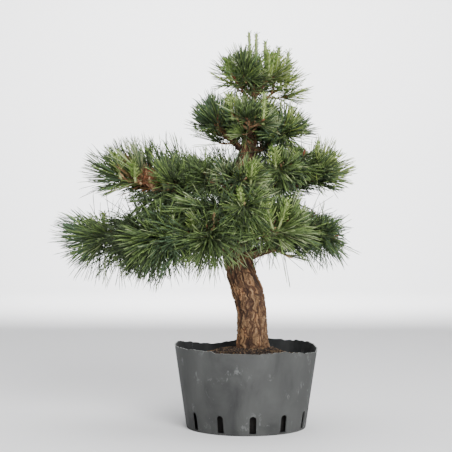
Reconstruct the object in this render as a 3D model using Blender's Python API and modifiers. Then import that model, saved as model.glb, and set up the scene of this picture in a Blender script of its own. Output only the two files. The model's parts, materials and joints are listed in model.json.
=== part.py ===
"""A japanese black pine grown as a tall bonsai, in a nursery pot that was cut down by hand.

Metres, +Z up. The origin is the middle of the pot's flat underside, and -Y is the front.
"""

import math
from collections import namedtuple

import bmesh
import bpy
import numpy as np
from mathutils import Matrix, Vector

# Free space between neighbouring solids
CLEAR = 0.0003
BOUGH_CLEAR = 0.00036
FAR = 9.0
SHARP_FROM_DEG = 65.0

# Round nursery pot with a thin tapered wall and drain slots round its foot
POT_FOOT_RADIUS = 0.119
POT_RIM_RADIUS = 0.1425
POT_HEIGHT = 0.160
WALL_SLOPE = (POT_RIM_RADIUS - POT_FOOT_RADIUS) / POT_HEIGHT
POT_WALL = 0.0022
POT_FLOOR = 0.003
POT_SIDES = 48
SLOT_COUNT = 12
SLOT_WIDTH = 0.013
SLOT_BOTTOM = 0.004
SLOT_TOP = 0.038
SLOT_TURN_DEG = -84.8
SLOT_ARC_STEPS = 6
SLOT_CUTTER_REACH = 0.012

# The hand-cut rim: waves round the pot as (how many, height, phase in degrees)
RIM_WAVES = (
    (1, 0.0020, -65.0),
    (2, 0.0028, 10.0),
    (3, 0.0027, -75.0),
    (5, 0.0018, 20.0),
    (11, 0.0006, 75.0),
)

# Soil: a mound round the foot of the trunk, lower beside the wall of the pot
SOIL_TOP = 0.152
SOIL_EDGE = 0.137
SOIL_FLAT_RADIUS = 0.056
SOIL_SLOPE = ((SOIL_FLAT_RADIUS, 0.0), (0.075, 0.0045), (0.098, 0.0110))
SOIL_BUMP = 0.0016
SOIL_SEED = 5
SOIL_SIDES = 32
SOIL_SIDE_CLEAR = 0.0006

# Trunk stations as (height, x, y, radius), from the flat foot to the cut tip under the top mass
TRUNK = (
    (SOIL_TOP + CLEAR, 0.0125, 0.000, 0.0330),
    (0.190, 0.0120, 0.000, 0.0295),
    (0.235, 0.0100, -0.002, 0.0295),
    (0.270, 0.0030, -0.004, 0.0305),
    (0.303, -0.0085, -0.004, 0.0290),
    (0.350, -0.0200, 0.000, 0.0272),
    (0.415, -0.0290, 0.006, 0.0235),
    (0.470, -0.0215, 0.006, 0.0205),
    (0.515, -0.0070, 0.002, 0.0180),
    (0.560, 0.0050, 0.000, 0.0155),
    (0.595, 0.0090, 0.000, 0.0110),
    (0.628, 0.0155, 0.000, 0.0070),
)
TRUNK_RINGS = 22
TRUNK_SIDES = 14
FLARE_DEPTH = 0.0040
FLARE_FADE = 0.020
FLARE_LOBES = 5
FLARE_TURN = 0.6

# A bough's heading is in degrees from +X towards +Y, and its run is level. It leaves the trunk at a
# height in metres, or another bough at a share of that bough's length.
Bough = namedtuple("Bough", "name parent leaves_at heading run rise arch root tip")
BOUGHS = (
    Bough("low_left", "trunk", 0.352, 181, 0.194, 0.014, 0.008, 0.0120, 0.0052),
    Bough("low_left_fore", "low_left", 0.42, 224, 0.058, 0.000, 0.000, 0.0056, 0.0040),
    Bough("low_left_rear", "low_left", 0.55, 132, 0.056, 0.010, 0.002, 0.0054, 0.0040),
    Bough("low_fore_left", "trunk", 0.356, 238, 0.088, 0.014, 0.002, 0.0085, 0.0048),
    Bough("low_fore", "trunk", 0.394, 266, 0.080, 0.018, 0.002, 0.0075, 0.0046),
    Bough("low_fore_right", "trunk", 0.372, 304, 0.084, 0.012, 0.006, 0.0080, 0.0048),
    Bough("low_right", "trunk", 0.338, 0, 0.122, 0.026, 0.002, 0.0115, 0.0052),
    Bough("low_right_fore", "low_right", 0.50, 312, 0.036, 0.012, 0.000, 0.0052, 0.0040),
    Bough("low_right_rear", "low_right", 0.55, 52, 0.050, 0.024, 0.000, 0.0054, 0.0040),
    Bough("low_rear_left", "trunk", 0.386, 118, 0.088, 0.006, 0.006, 0.0085, 0.0048),
    Bough("low_rear_right", "trunk", 0.392, 64, 0.082, 0.004, 0.006, 0.0080, 0.0048),
    Bough("mid_left", "trunk", 0.462, 180, 0.136, 0.018, 0.006, 0.0095, 0.0048),
    Bough("mid_left_fore", "mid_left", 0.45, 226, 0.048, -0.006, 0.000, 0.0050, 0.0038),
    Bough("mid_left_rear", "mid_left", 0.58, 134, 0.048, 0.006, 0.002, 0.0050, 0.0038),
    Bough("mid_right", "trunk", 0.460, 1, 0.122, 0.022, -0.002, 0.0095, 0.0048),
    Bough("mid_right_fore", "mid_right", 0.42, 312, 0.042, 0.018, 0.000, 0.0050, 0.0038),
    Bough("mid_right_rear", "mid_right", 0.50, 50, 0.042, 0.018, 0.000, 0.0050, 0.0038),
    Bough("mid_fore", "trunk", 0.462, 262, 0.066, 0.014, 0.002, 0.0070, 0.0044),
    Bough("mid_rear", "trunk", 0.490, 96, 0.066, 0.006, 0.004, 0.0070, 0.0044),
    Bough("upper_left", "trunk", 0.546, 178, 0.028, 0.022, 0.000, 0.0062, 0.0042),
    Bough("upper_right", "trunk", 0.542, 358, 0.040, 0.018, 0.000, 0.0062, 0.0042),
    Bough("upper_fore", "trunk", 0.574, 268, 0.036, 0.012, 0.000, 0.0056, 0.0040),
    Bough("upper_rear", "trunk", 0.568, 92, 0.040, 0.010, 0.000, 0.0056, 0.0040),
)
BOUGH_POINTS = 5

# A mass of foliage carries on from the tip of its limb: a stem, side twigs and candles of new growth.
# Spin is the turn from one side twig to the next: 180 alternates left and right as in a flat pad.
# Curl is how far the twigs turn up past their elbows: 1 bends a level twig up by 45 degrees.
Mass = namedtuple("Mass", "name limb stem side twigs spin curl candles seed")
MASSES = (
    Mass("needles_low_left", "low_left", 0.090, 0.068, 5, 180, 0.55, (0.050,), 11),
    Mass("needles_low_left_fore", "low_left_fore", 0.062, 0.060, 4, 180, 0.35, (), 12),
    Mass("needles_low_left_rear", "low_left_rear", 0.062, 0.060, 4, 180, 0.6, (), 13),
    Mass("needles_low_fore_left", "low_fore_left", 0.060, 0.062, 4, 180, 0.6, (0.050,), 14),
    Mass("needles_low_fore", "low_fore", 0.056, 0.058, 4, 180, 0.6, (), 34),
    Mass("needles_low_fore_right", "low_fore_right", 0.060, 0.062, 4, 180, 0.6, (0.060, 0.055), 15),
    Mass("needles_low_right", "low_right", 0.060, 0.064, 4, 180, 0.7, (), 16),
    Mass("needles_low_right_fore", "low_right_fore", 0.052, 0.056, 3, 180, 0.7, (0.050,), 17),
    Mass("needles_low_right_rear", "low_right_rear", 0.056, 0.060, 3, 180, 0.7, (), 18),
    Mass("needles_low_rear_left", "low_rear_left", 0.064, 0.066, 4, 180, 0.6, (), 19),
    Mass("needles_low_rear_right", "low_rear_right", 0.062, 0.064, 4, 180, 0.6, (), 20),
    Mass("needles_mid_left", "mid_left", 0.086, 0.066, 5, 180, 0.8, (0.050,), 21),
    Mass("needles_mid_left_fore", "mid_left_fore", 0.056, 0.060, 4, 180, 0.4, (0.050,), 22),
    Mass("needles_mid_left_rear", "mid_left_rear", 0.056, 0.060, 4, 180, 0.7, (), 23),
    Mass("needles_mid_right", "mid_right", 0.054, 0.058, 4, 180, 0.8, (0.045,), 24),
    Mass("needles_mid_right_fore", "mid_right_fore", 0.052, 0.058, 4, 180, 0.7, (0.045,), 25),
    Mass("needles_mid_right_rear", "mid_right_rear", 0.052, 0.058, 4, 180, 0.7, (), 26),
    Mass("needles_mid_fore", "mid_fore", 0.056, 0.060, 4, 180, 0.6, (), 27),
    Mass("needles_mid_rear", "mid_rear", 0.056, 0.060, 4, 180, 0.6, (), 28),
    Mass("needles_upper_left", "upper_left", 0.036, 0.050, 4, 180, 1.0, (0.040,), 29),
    Mass("needles_upper_right", "upper_right", 0.046, 0.052, 4, 180, 0.9, (0.040,), 30),
    Mass("needles_upper_fore", "upper_fore", 0.044, 0.040, 3, 180, 0.6, (0.050,), 31),
    Mass("needles_upper_rear", "upper_rear", 0.046, 0.040, 3, 180, 0.6, (), 32),
    Mass("needles_top", "trunk", 0.066, 0.066, 8, 137.5, 0.35, (0.090, 0.060, 0.055, 0.060, 0.055), 33),
)

# Points from base to tip, a radius at each, and whether needles stand out of its last leg
Twig = namedtuple("Twig", "points radii needles")

# The rule of growth: a twig is a square tube with an elbow, and each face past the elbow is drawn
# out to a needle
STEM_RADII = (0.0040, 0.0042, 0.0026)
SIDE_RADII = (0.0026, 0.0036, 0.0024)
CANDLE_RADII = (0.0032, 0.0027, 0.0022)
SIDE_ANGLE_DEG = 56.0
SIDE_ANGLE_SPREAD_DEG = 8.0
SIDE_TURN_SPREAD_DEG = 16.0
FIRST_SIDE_AT = 0.12
SIDES_SPAN = 0.66
SIDE_LENGTHENING = 0.1
SIDE_SHORTENING = 0.4
SIDE_LENGTH_SPREAD = 0.1
ELBOW = 0.50
CURL_SPREAD = 0.4
NEEDLE_ROWS = 5
NEEDLES_FROM = 0.05
NEEDLE_LENGTH = 0.082
SHORTEST_NEEDLE = 0.060
NEEDLE_LENGTH_SPREAD = 0.12
NEEDLE_RADIUS = 0.0026
WIDEST_LEAN_DEG = 128.0
NARROWEST_LEAN_DEG = 22.0
LEAN_SPREAD_DEG = 10.0
TURN_SPREAD_DEG = 34.0

# A needle that doesn't fit is turned and shortened, up to so many times. Needles of one mass may
# touch only in their root zone.
ROOT_ZONE = 0.014
TRIES = 6
NEEDLE_SEED_STEP = 1000
CROSS_STEP = 0.002

# How each mass keeps to its own space
PROBE_STEP = 0.004
SEED_STEP = 0.005
TWIG_TO_TWIG = 0.012

UP = np.array((0.0, 0.0, 1.0))

COLOURS = {
    "pot_plastic": ((0.085, 0.090, 0.092), 0.55),
    "soil": ((0.085, 0.045, 0.024), 0.95),
    "bark": ((0.190, 0.110, 0.062), 0.90),
    "needles": ((0.045, 0.105, 0.040), 0.50),
}


def unit(vector):
    return vector / np.linalg.norm(vector)


def material(name):
    """A Principled material with the part's own colour and roughness."""
    found = bpy.data.materials.get(name)
    if found:
        return found
    colour, roughness = COLOURS[name]
    made = bpy.data.materials.new(name)
    made.use_nodes = True
    shader = made.node_tree.nodes["Principled BSDF"]
    shader.inputs["Base Color"].default_value = (*colour, 1.0)
    shader.inputs["Roughness"].default_value = roughness
    return made


def new_collection(name):
    made = bpy.data.collections.new(name)
    bpy.context.scene.collection.children.link(made)
    return made


def add_object(name, mesh, collection, finish=None):
    made = bpy.data.objects.new(name, mesh)
    collection.objects.link(made)
    if finish:
        mesh.materials.clear()
        mesh.materials.append(material(finish))
    return made


def hide_cutter(cutter):
    cutter.hide_render = True
    cutter.display_type = "WIRE"


def evaluated_mesh(made):
    """The mesh that an object's curve or modifiers make, with the caps of a curve welded on."""
    bpy.context.view_layer.update()
    graph = bpy.context.evaluated_depsgraph_get()
    mesh = bpy.data.meshes.new_from_object(made.evaluated_get(graph))
    work = bmesh.new()
    work.from_mesh(mesh)
    bmesh.ops.remove_doubles(work, verts=work.verts, dist=1e-6)
    work.to_mesh(mesh)
    work.free()
    return mesh


def baked(made):
    """Replaces an object with the mesh that it evaluates to, in the same place and collection."""
    name, matrix, collection = made.name, made.matrix_world.copy(), made.users_collection[0]
    mesh = evaluated_mesh(made)
    bpy.data.objects.remove(made)
    result = bpy.data.objects.new(name, mesh)
    result.matrix_world = matrix
    collection.objects.link(result)
    return result


def shade_round(mesh):
    """Smooth shading all round, with the edges of flat ends kept sharp."""
    mesh.shade_smooth()
    mesh.set_sharp_from_angle(angle=math.radians(SHARP_FROM_DEG))


def poly_curve(name, points, collection, closed=False, dimensions="3D"):
    curve = bpy.data.curves.new(name, "CURVE")
    curve.dimensions = dimensions
    spline = curve.splines.new("POLY")
    spline.points.add(len(points) - 1)
    for point, place in zip(spline.points, points):
        point.co = (*place, 1.0)
    spline.use_cyclic_u = closed
    return add_object(name, curve, collection)


# Paths and radii of the limbs


def smooth_between(stations, count):
    """Rows evenly spread along stations by a cubic through them all, its slopes taken from neighbours."""
    rows = np.array(stations)
    heights = rows[:, 0]
    slopes = np.gradient(rows, heights, axis=0)
    wanted = np.linspace(heights[0], heights[-1], count)
    left = np.clip(np.searchsorted(heights, wanted) - 1, 0, len(rows) - 2)
    span = (heights[left + 1] - heights[left])[:, None]
    t = (wanted - heights[left])[:, None] / span
    held = (2 * t**3 - 3 * t**2 + 1) * rows[left] + (-2 * t**3 + 3 * t**2) * rows[left + 1]
    bent = (t**3 - 2 * t**2 + t) * slopes[left] + (t**3 - t**2) * slopes[left + 1]
    return held + span * bent


def trunk_path():
    """Points and radii along the middle of the trunk."""
    rows = smooth_between(TRUNK, TRUNK_RINGS)
    return rows[:, [1, 2, 0]], rows[:, 3]


def bough_path(bough, paths):
    """Points and radii along a bough, whose first point is on the middle line of what carries it."""
    points, _ = paths[bough.parent]
    if bough.parent == "trunk":
        start = np.array([np.interp(bough.leaves_at, points[:, 2], points[:, i]) for i in range(3)])
    else:
        shares = np.linspace(0, 1, len(points))
        start = np.array([np.interp(bough.leaves_at, shares, points[:, i]) for i in range(3)])
    t = np.linspace(0, 1, BOUGH_POINTS)[:, None]
    heading = math.radians(bough.heading)
    level = np.array((math.cos(heading), math.sin(heading), 0.0))
    path = start + level * bough.run * t
    path = path + UP * (bough.rise * t + bough.arch * np.sin(math.pi * t))
    return path, np.linspace(bough.root, bough.tip, BOUGH_POINTS)


# Pot and soil


def wall_radius(height):
    """The pot's outer radius at a height."""
    return POT_FOOT_RADIUS + WALL_SLOPE * height


def turned(name, profile, sides, collection):
    """A solid of revolution: the profile, as (radius, height) pairs, swept round +Z by a Screw modifier."""
    mesh = bpy.data.meshes.new(name)
    count = len(profile)
    mesh.from_pydata([(r, 0, z) for r, z in profile], [(i, i + 1) for i in range(count - 1)], [])
    made = add_object(name, mesh, collection)
    screw = made.modifiers.new("turn", "SCREW")
    screw.steps = screw.render_steps = sides
    screw.use_merge_vertices = True
    screw.merge_threshold = 0.0001
    return baked(made)


def rim_wave(x, y):
    turn = math.atan2(y, x)
    return sum(high * math.sin(many * turn + math.radians(phase)) for many, high, phase in RIM_WAVES)


def slot_cutters(collection):
    """Upright stadium prisms, round at the top, one through the wall for each drain slot."""
    half = SLOT_WIDTH / 2
    middle = SLOT_TOP - half
    arc = [math.pi * i / SLOT_ARC_STEPS for i in range(SLOT_ARC_STEPS + 1)]
    outline = [(half * math.cos(a), middle + half * math.sin(a), 0.0) for a in arc]
    outline += [(-half, SLOT_BOTTOM, 0.0), (half, SLOT_BOTTOM, 0.0)]
    for i in range(SLOT_COUNT):
        cutter = poly_curve(f"slot_{i:02d}", outline, collection, closed=True, dimensions="2D")
        cutter.data.fill_mode = "BOTH"
        cutter.data.extrude = SLOT_CUTTER_REACH
        turn = math.radians(SLOT_TURN_DEG + i * 360 / SLOT_COUNT)
        out = Vector((math.cos(turn), math.sin(turn), 0.0)) * (wall_radius(middle) - POT_WALL / 2)
        upright = Matrix.Rotation(turn + math.pi / 2, 4, "Z") @ Matrix.Rotation(math.pi / 2, 4, "X")
        cutter.matrix_world = Matrix.Translation(out) @ upright
        hide_cutter(baked(cutter))


def make_pot(parts, cutters):
    """A thin cone with a floor. Its rim's vertices slide along the wall into the waves of the cut."""
    profile = [
        (0.0, POT_FLOOR),
        (wall_radius(POT_FLOOR) - POT_WALL, POT_FLOOR),
        (POT_RIM_RADIUS - POT_WALL, POT_HEIGHT),
        (POT_RIM_RADIUS, POT_HEIGHT),
        (POT_FOOT_RADIUS, 0.0),
        (0.0, 0.0),
    ]
    pot = turned("pot", profile, POT_SIDES, parts)
    for vertex in pot.data.vertices:
        if vertex.co.z > POT_HEIGHT / 2:
            wave = rim_wave(vertex.co.x, vertex.co.y)
            aside = wave * WALL_SLOPE / math.hypot(vertex.co.x, vertex.co.y)
            vertex.co += Vector((vertex.co.x * aside, vertex.co.y * aside, wave))
    slots = bpy.data.collections.new("pot_slots")
    cutters.children.link(slots)
    slot_cutters(slots)
    cut = pot.modifiers.new("drain_slots", "BOOLEAN")
    cut.operation = "DIFFERENCE"
    cut.operand_type = "COLLECTION"
    cut.collection = slots
    even = pot.modifiers.new("even_shading", "WEIGHTED_NORMAL")
    even.keep_sharp = True
    pot.data.materials.clear()
    pot.data.materials.append(material("pot_plastic"))


def make_soil(parts):
    """The soil fills the pot's inside, with its own clearance, up to a mound with a level top."""
    side = POT_WALL + SOIL_SIDE_CLEAR
    bottom = POT_FLOOR + CLEAR
    profile = [(0.0, SOIL_TOP)]
    profile += [(radius, SOIL_TOP - fall) for radius, fall in SOIL_SLOPE]
    profile += [
        (wall_radius(SOIL_EDGE) - side, SOIL_EDGE),
        (wall_radius(bottom) - side, bottom),
        (0.0, bottom),
    ]
    soil = turned("soil", profile, SOIL_SIDES, parts)
    rng = np.random.default_rng(SOIL_SEED)
    for vertex in soil.data.vertices:
        out = math.hypot(vertex.co.x, vertex.co.y)
        if vertex.co.z > SOIL_EDGE - CLEAR and out > SOIL_FLAT_RADIUS + CLEAR:
            vertex.co.z += SOIL_BUMP * rng.uniform(0, 1)
    soil.data.materials.clear()
    soil.data.materials.append(material("soil"))


# Trunk and boughs


def trunk_mesh(name, extra):
    """A loft of rings. The foot's ring has lobes where the roots spread, which fade out above it."""
    points, radii = trunk_path()
    work = bmesh.new()
    rings = []
    for point, radius in zip(points, radii):
        flare = FLARE_DEPTH * math.exp(-(point[2] - TRUNK[0][0]) / FLARE_FADE)
        ring = []
        for i in range(TRUNK_SIDES):
            turn = 2 * math.pi * i / TRUNK_SIDES
            out = radius + extra + flare * math.cos(FLARE_LOBES * turn + FLARE_TURN)
            ring.append(work.verts.new(point + out * np.array((math.cos(turn), math.sin(turn), 0.0))))
        rings.append(ring)
    for lower, upper in zip(rings, rings[1:]):
        for i in range(TRUNK_SIDES):
            j = (i + 1) % TRUNK_SIDES
            work.faces.new((lower[i], lower[j], upper[j], upper[i]))
    work.faces.new(rings[0][::-1])
    work.faces.new(rings[-1])
    mesh = bpy.data.meshes.new(name)
    work.to_mesh(mesh)
    work.free()
    shade_round(mesh)
    return mesh


def tube(name, path, radii, extra, collection, sides=6):
    """A tapering tube along a path, with four or more sides and flat ends."""
    made = poly_curve(name, path, collection)
    made.data.bevel_depth = 1.0
    made.data.bevel_resolution = sides // 2 - 2
    made.data.use_fill_caps = True
    for point, radius in zip(made.data.splines[0].points, radii):
        point.radius = radius + extra
    return baked(made)


def make_limbs(parts, cutters):
    """The trunk and every bough, each bough cut clear of the limb that carries it. Returns their paths."""
    paths = {"trunk": trunk_path()}
    add_object("trunk", trunk_mesh("trunk", 0.0), parts, "bark")
    clearances = {"trunk": add_object("clear_of_trunk", trunk_mesh("clear_of_trunk", CLEAR), cutters)}
    hide_cutter(clearances["trunk"])
    carriers = {bough.parent for bough in BOUGHS}
    for bough in BOUGHS:
        path, radii = paths[bough.name] = bough_path(bough, paths)
        if bough.name in carriers:
            cutter = tube(f"clear_of_{bough.name}", path, radii, BOUGH_CLEAR, cutters)
            hide_cutter(cutter)
            clearances[bough.name] = cutter
        made = tube(f"bough_{bough.name}", path, radii, 0.0, parts)
        made.data.materials.append(material("bark"))
        shade_round(made.data)
        cut = made.modifiers.new("seat", "BOOLEAN")
        cut.operation = "DIFFERENCE"
        cut.object = clearances[bough.parent]
    return paths


# Growth of the foliage


def side_frame(way):
    """Two unit vectors square to a direction: one level, and one as near upright as can be."""
    level = np.cross(way, UP)
    level = unit(level) if np.linalg.norm(level) > 0.2 else np.array((1.0, 0.0, 0.0))
    return level, unit(np.cross(level, way))


def leaning(way, lean_deg, turn_deg):
    """A unit vector that leans away from a direction, turned about it from the level side."""
    level, upright = side_frame(way)
    lean, turn = math.radians(lean_deg), math.radians(turn_deg)
    aside = level * math.cos(turn) + upright * math.sin(turn)
    return unit(way * math.cos(lean) + aside * math.sin(lean))


def bent_twig(base, way, length, radii, curl):
    """A twig with an elbow, past which it turns up and bears needles."""
    elbow = base + way * length * ELBOW
    tip = elbow + unit(way + UP * curl) * length * (1 - ELBOW)
    return Twig(np.array((base, elbow, tip)), radii, True)


def candle_on(twig, length):
    """A bare upright candle of new growth on the tip of a twig."""
    base = twig.points[2] - UP * CANDLE_RADII[0]
    return Twig(np.array((base, base + UP * length / 2, base + UP * length)), CANDLE_RADII, False)


def grow_twigs(mass, base, way):
    """The stem of a mass, then its side twigs, which stand out of the stem by turns."""
    rng = np.random.default_rng(mass.seed)
    stem = bent_twig(base, way, mass.stem, STEM_RADII, mass.curl)
    twigs = [stem]
    for i in range(mass.twigs):
        share = FIRST_SIDE_AT + SIDES_SPAN * (i + 0.5) / mass.twigs
        root = np.array([np.interp(share, (0, ELBOW, 1), stem.points[:, k]) for k in range(3)])
        turn = mass.spin * i + rng.uniform(-SIDE_TURN_SPREAD_DEG, SIDE_TURN_SPREAD_DEG)
        angle = SIDE_ANGLE_DEG + rng.uniform(-SIDE_ANGLE_SPREAD_DEG, SIDE_ANGLE_SPREAD_DEG)
        length = mass.side * (1 + SIDE_LENGTHENING - SIDE_SHORTENING * share)
        length *= rng.uniform(1 - SIDE_LENGTH_SPREAD, 1 + SIDE_LENGTH_SPREAD)
        curl = mass.curl + rng.uniform(-CURL_SPREAD, CURL_SPREAD)
        twigs.append(bent_twig(root, leaning(way, angle, turn), length, SIDE_RADII, curl))
    return twigs


def needle_way(way, normal, share, rng):
    """Where a needle points: it leans out widest near the foot of its shoot, and least at the tip."""
    lean = math.radians(
        WIDEST_LEAN_DEG + (NARROWEST_LEAN_DEG - WIDEST_LEAN_DEG) * share
        + rng.uniform(-LEAN_SPREAD_DEG, LEAN_SPREAD_DEG)
    )
    turn = math.radians(rng.uniform(-TURN_SPREAD_DEG, TURN_SPREAD_DEG))
    out = unit(normal - way * (normal @ way))
    aside = out * math.cos(turn) + np.cross(way, out) * math.sin(turn)
    return unit(way * math.cos(lean) + aside * math.sin(lean))


def probes(start, end, step=PROBE_STEP):
    """Points from one end of a line to the other, no further apart than the step."""
    count = max(2, int(np.ceil(np.linalg.norm(end - start) / step)) + 1)
    return start + (end - start) * np.linspace(0, 1, count)[:, None]


def nearest(points, others):
    """How far each point is from the nearest of the others."""
    if not len(others):
        return np.full(len(points), FAR)
    apart = np.linalg.norm(points[:, None, :] - np.asarray(others)[None, :, :], axis=2)
    return apart.min(axis=1)


def limb_gap(points, path, radii):
    """How far each point is outside a limb: its distance from each leg, less the limb's radius there."""
    best = np.full(len(points), FAR)
    for low, high, thin, thick in zip(path, path[1:], radii, radii[1:]):
        leg = high - low
        share = np.clip((points - low) @ leg / (leg @ leg), 0, 1)
        apart = np.linalg.norm(points - (low + share[:, None] * leg), axis=1)
        best = np.minimum(best, apart - (thin + (thick - thin) * share))
    return best


def clear_of_limbs(start, end, radius, limbs):
    room = radius + CLEAR + PROBE_STEP / 2 + FLARE_DEPTH / 4
    line = probes(start, end)
    return all((limb_gap(line, *limb) > room).all() for limb in limbs.values())


def share_out(limbs):
    """Every mass's twigs and candles that keep clear of the limbs and of the masses before it."""
    kept, seeds = {}, {}
    for mass in MASSES:
        path = limbs[mass.limb][0]
        way = UP if mass.limb == "trunk" else unit(path[-1] - path[-2])
        others = [seed for found in seeds.values() for seed in found]
        kept[mass.name], seeds[mass.name] = [], []

        def kept_clear(twig, is_stem=False):
            legs = list(zip(twig.points, twig.points[1:]))
            dots = np.concatenate([probes(*leg, SEED_STEP) for leg in legs])
            free = all(clear_of_limbs(*leg, twig.radii[0], limbs) for leg in legs)
            fits = is_stem or (free and nearest(dots, others).min() > TWIG_TO_TWIG)
            if fits:
                kept[mass.name].append(twig)
                seeds[mass.name].extend(dots)
            return fits

        for i, twig in enumerate(grow_twigs(mass, path[-1] + way * BOUGH_CLEAR, way)):
            if kept_clear(twig, is_stem=i == 0) and i < len(mass.candles):
                kept_clear(candle_on(twig, mass.candles[i]))
    return kept, seeds


def in_own_space(start, end, radius, own, others):
    """Whether a needle is nearer to its own mass's twigs than to any other's, all the way along."""
    line = probes(start, end)
    margin = 2 * (np.linspace(radius, 0, len(line)) + CLEAR) + PROBE_STEP
    return bool((nearest(line, others) - nearest(line, own) > margin).all())


def keep_largest(mesh):
    """Drops loose scraps, and the walls of any hollow that the union sealed, which fills it."""
    work = bmesh.new()
    work.from_mesh(mesh)
    left, bodies = set(work.verts), []
    while left:
        body, edge = set(), {left.pop()}
        while edge:
            body |= edge
            edge = {e.other_vert(v) for v in edge for e in v.link_edges} - body
        left -= body
        bodies.append(body)
    bodies.sort(key=len)
    for body in bodies[:-1]:
        bmesh.ops.delete(work, geom=list(body), context="VERTS")
    work.to_mesh(mesh)
    work.free()


def fuse(name, base, pieces):
    """Joins every piece to the base with one Boolean union, applies it and removes the pieces."""
    join = base.modifiers.new("fuse", "BOOLEAN")
    join.operation = "UNION"
    join.solver = "MANIFOLD"
    join.operand_type = "COLLECTION"
    join.collection = pieces
    result = baked(base)
    keep_largest(result.data)
    for piece in list(pieces.objects):
        bpy.data.objects.remove(piece)
    bpy.data.collections.remove(pieces)
    result.name = name
    result.data.materials.clear()
    result.data.materials.append(material("needles"))


def crosses(start, end, placed):
    """Whether a needle would cut through any round thing already placed, given as points and radii."""
    if not placed:
        return False
    points = np.concatenate([dots for dots, _ in placed])
    radii = np.concatenate([size for _, size in placed])
    return bool((limb_gap(points, (start, end), (NEEDLE_RADIUS, 0.0)) < radii + CLEAR).any())


def dotted(start, end, radii):
    """A tapered leg as closely spaced points with a radius each."""
    dots = probes(start, end, CROSS_STEP)
    return dots, np.linspace(radii[0], radii[1], len(dots))


def dotted_legs(twig):
    ends = zip(twig.radii, twig.radii[1:])
    return [dotted(low, high, radii) for low, high, radii in zip(twig.points, twig.points[1:], ends)]


def twig_rings(twig):
    """Points and radii along a twig, with a ring for every row of needles past its elbow."""
    if not twig.needles:
        return twig.points, twig.radii
    elbow, tip = twig.points[1:]
    shares = np.linspace(0, 1, NEEDLE_ROWS + 1)[:, None]
    path = np.concatenate((twig.points[:1], elbow + (tip - elbow) * shares))
    thick = np.linspace(twig.radii[1], twig.radii[2], NEEDLE_ROWS + 1)
    return path, np.concatenate((twig.radii[:1], thick))


def draw_out_needles(mesh, twig, fits, rng):
    """Pokes each face past the elbow out to the tip of a needle, where one fits."""
    elbow, end = twig.points[1:]
    span = np.linalg.norm(end - elbow)
    way = (end - elbow) / span
    work = bmesh.new()
    work.from_mesh(mesh)
    for face in list(work.faces):
        root, normal = np.array(face.calc_center_median()), np.array(face.normal)
        share = (root - elbow) @ way / span
        is_end = abs(normal @ way) > 0.9
        if share < NEEDLES_FROM or (is_end and share < 0.5):
            continue
        for length in np.linspace(NEEDLE_LENGTH, SHORTEST_NEEDLE, TRIES):
            heading = way if is_end else needle_way(way, normal, share, rng)
            tip = root + heading * length * rng.uniform(1 - NEEDLE_LENGTH_SPREAD, 1.0)
            if fits(root, tip):
                made = bmesh.ops.poke(work, faces=[face])
                made["verts"][0].co = tip
                break
    work.to_mesh(mesh)
    work.free()


def make_mass(mass, twigs, seeds, limbs, parts):
    """One mass as one solid: its twigs with their needles, and its candles, fused."""
    rng = np.random.default_rng(mass.seed + NEEDLE_SEED_STEP)
    pieces = new_collection(f"{mass.name}_pieces")
    own = np.array(seeds[mass.name])
    others = np.array([seed for name, found in seeds.items() if name != mass.name for seed in found])
    made, placed = [], []
    for twig in twigs:
        beside = [leg for other in twigs if other is not twig for leg in dotted_legs(other)]

        def fits(root, tip):
            outside = root + unit(tip - root) * ROOT_ZONE
            free = (
                clear_of_limbs(root, tip, NEEDLE_RADIUS, limbs)
                and in_own_space(root, tip, NEEDLE_RADIUS, own, others)
                and not crosses(outside, tip, placed + beside)
            )
            if free:
                placed.append(dotted(outside, tip, (NEEDLE_RADIUS, 0.0)))
            return free

        piece = tube(mass.name, *twig_rings(twig), 0.0, pieces if made else parts, sides=4)
        if twig.needles:
            draw_out_needles(piece.data, twig, fits, rng)
        made.append(piece)
    fuse(mass.name, made[0], pieces)


def main():
    for old in list(bpy.data.objects):
        bpy.data.objects.remove(old)
    parts = new_collection("japanese_black_pine")
    cutters = new_collection("cutters")
    make_pot(parts, cutters)
    make_soil(parts)
    limbs = make_limbs(parts, cutters)
    twigs, seeds = share_out(limbs)
    for mass in MASSES:
        make_mass(mass, twigs[mass.name], seeds, limbs, parts)


main()
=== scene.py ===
"""Looks of the potted japanese black pine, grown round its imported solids.

Metres, +Z up, the middle of the pot's underside at the origin, and -Y towards the viewer.
"""

import json
import math
from collections import namedtuple
from functools import lru_cache

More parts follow.
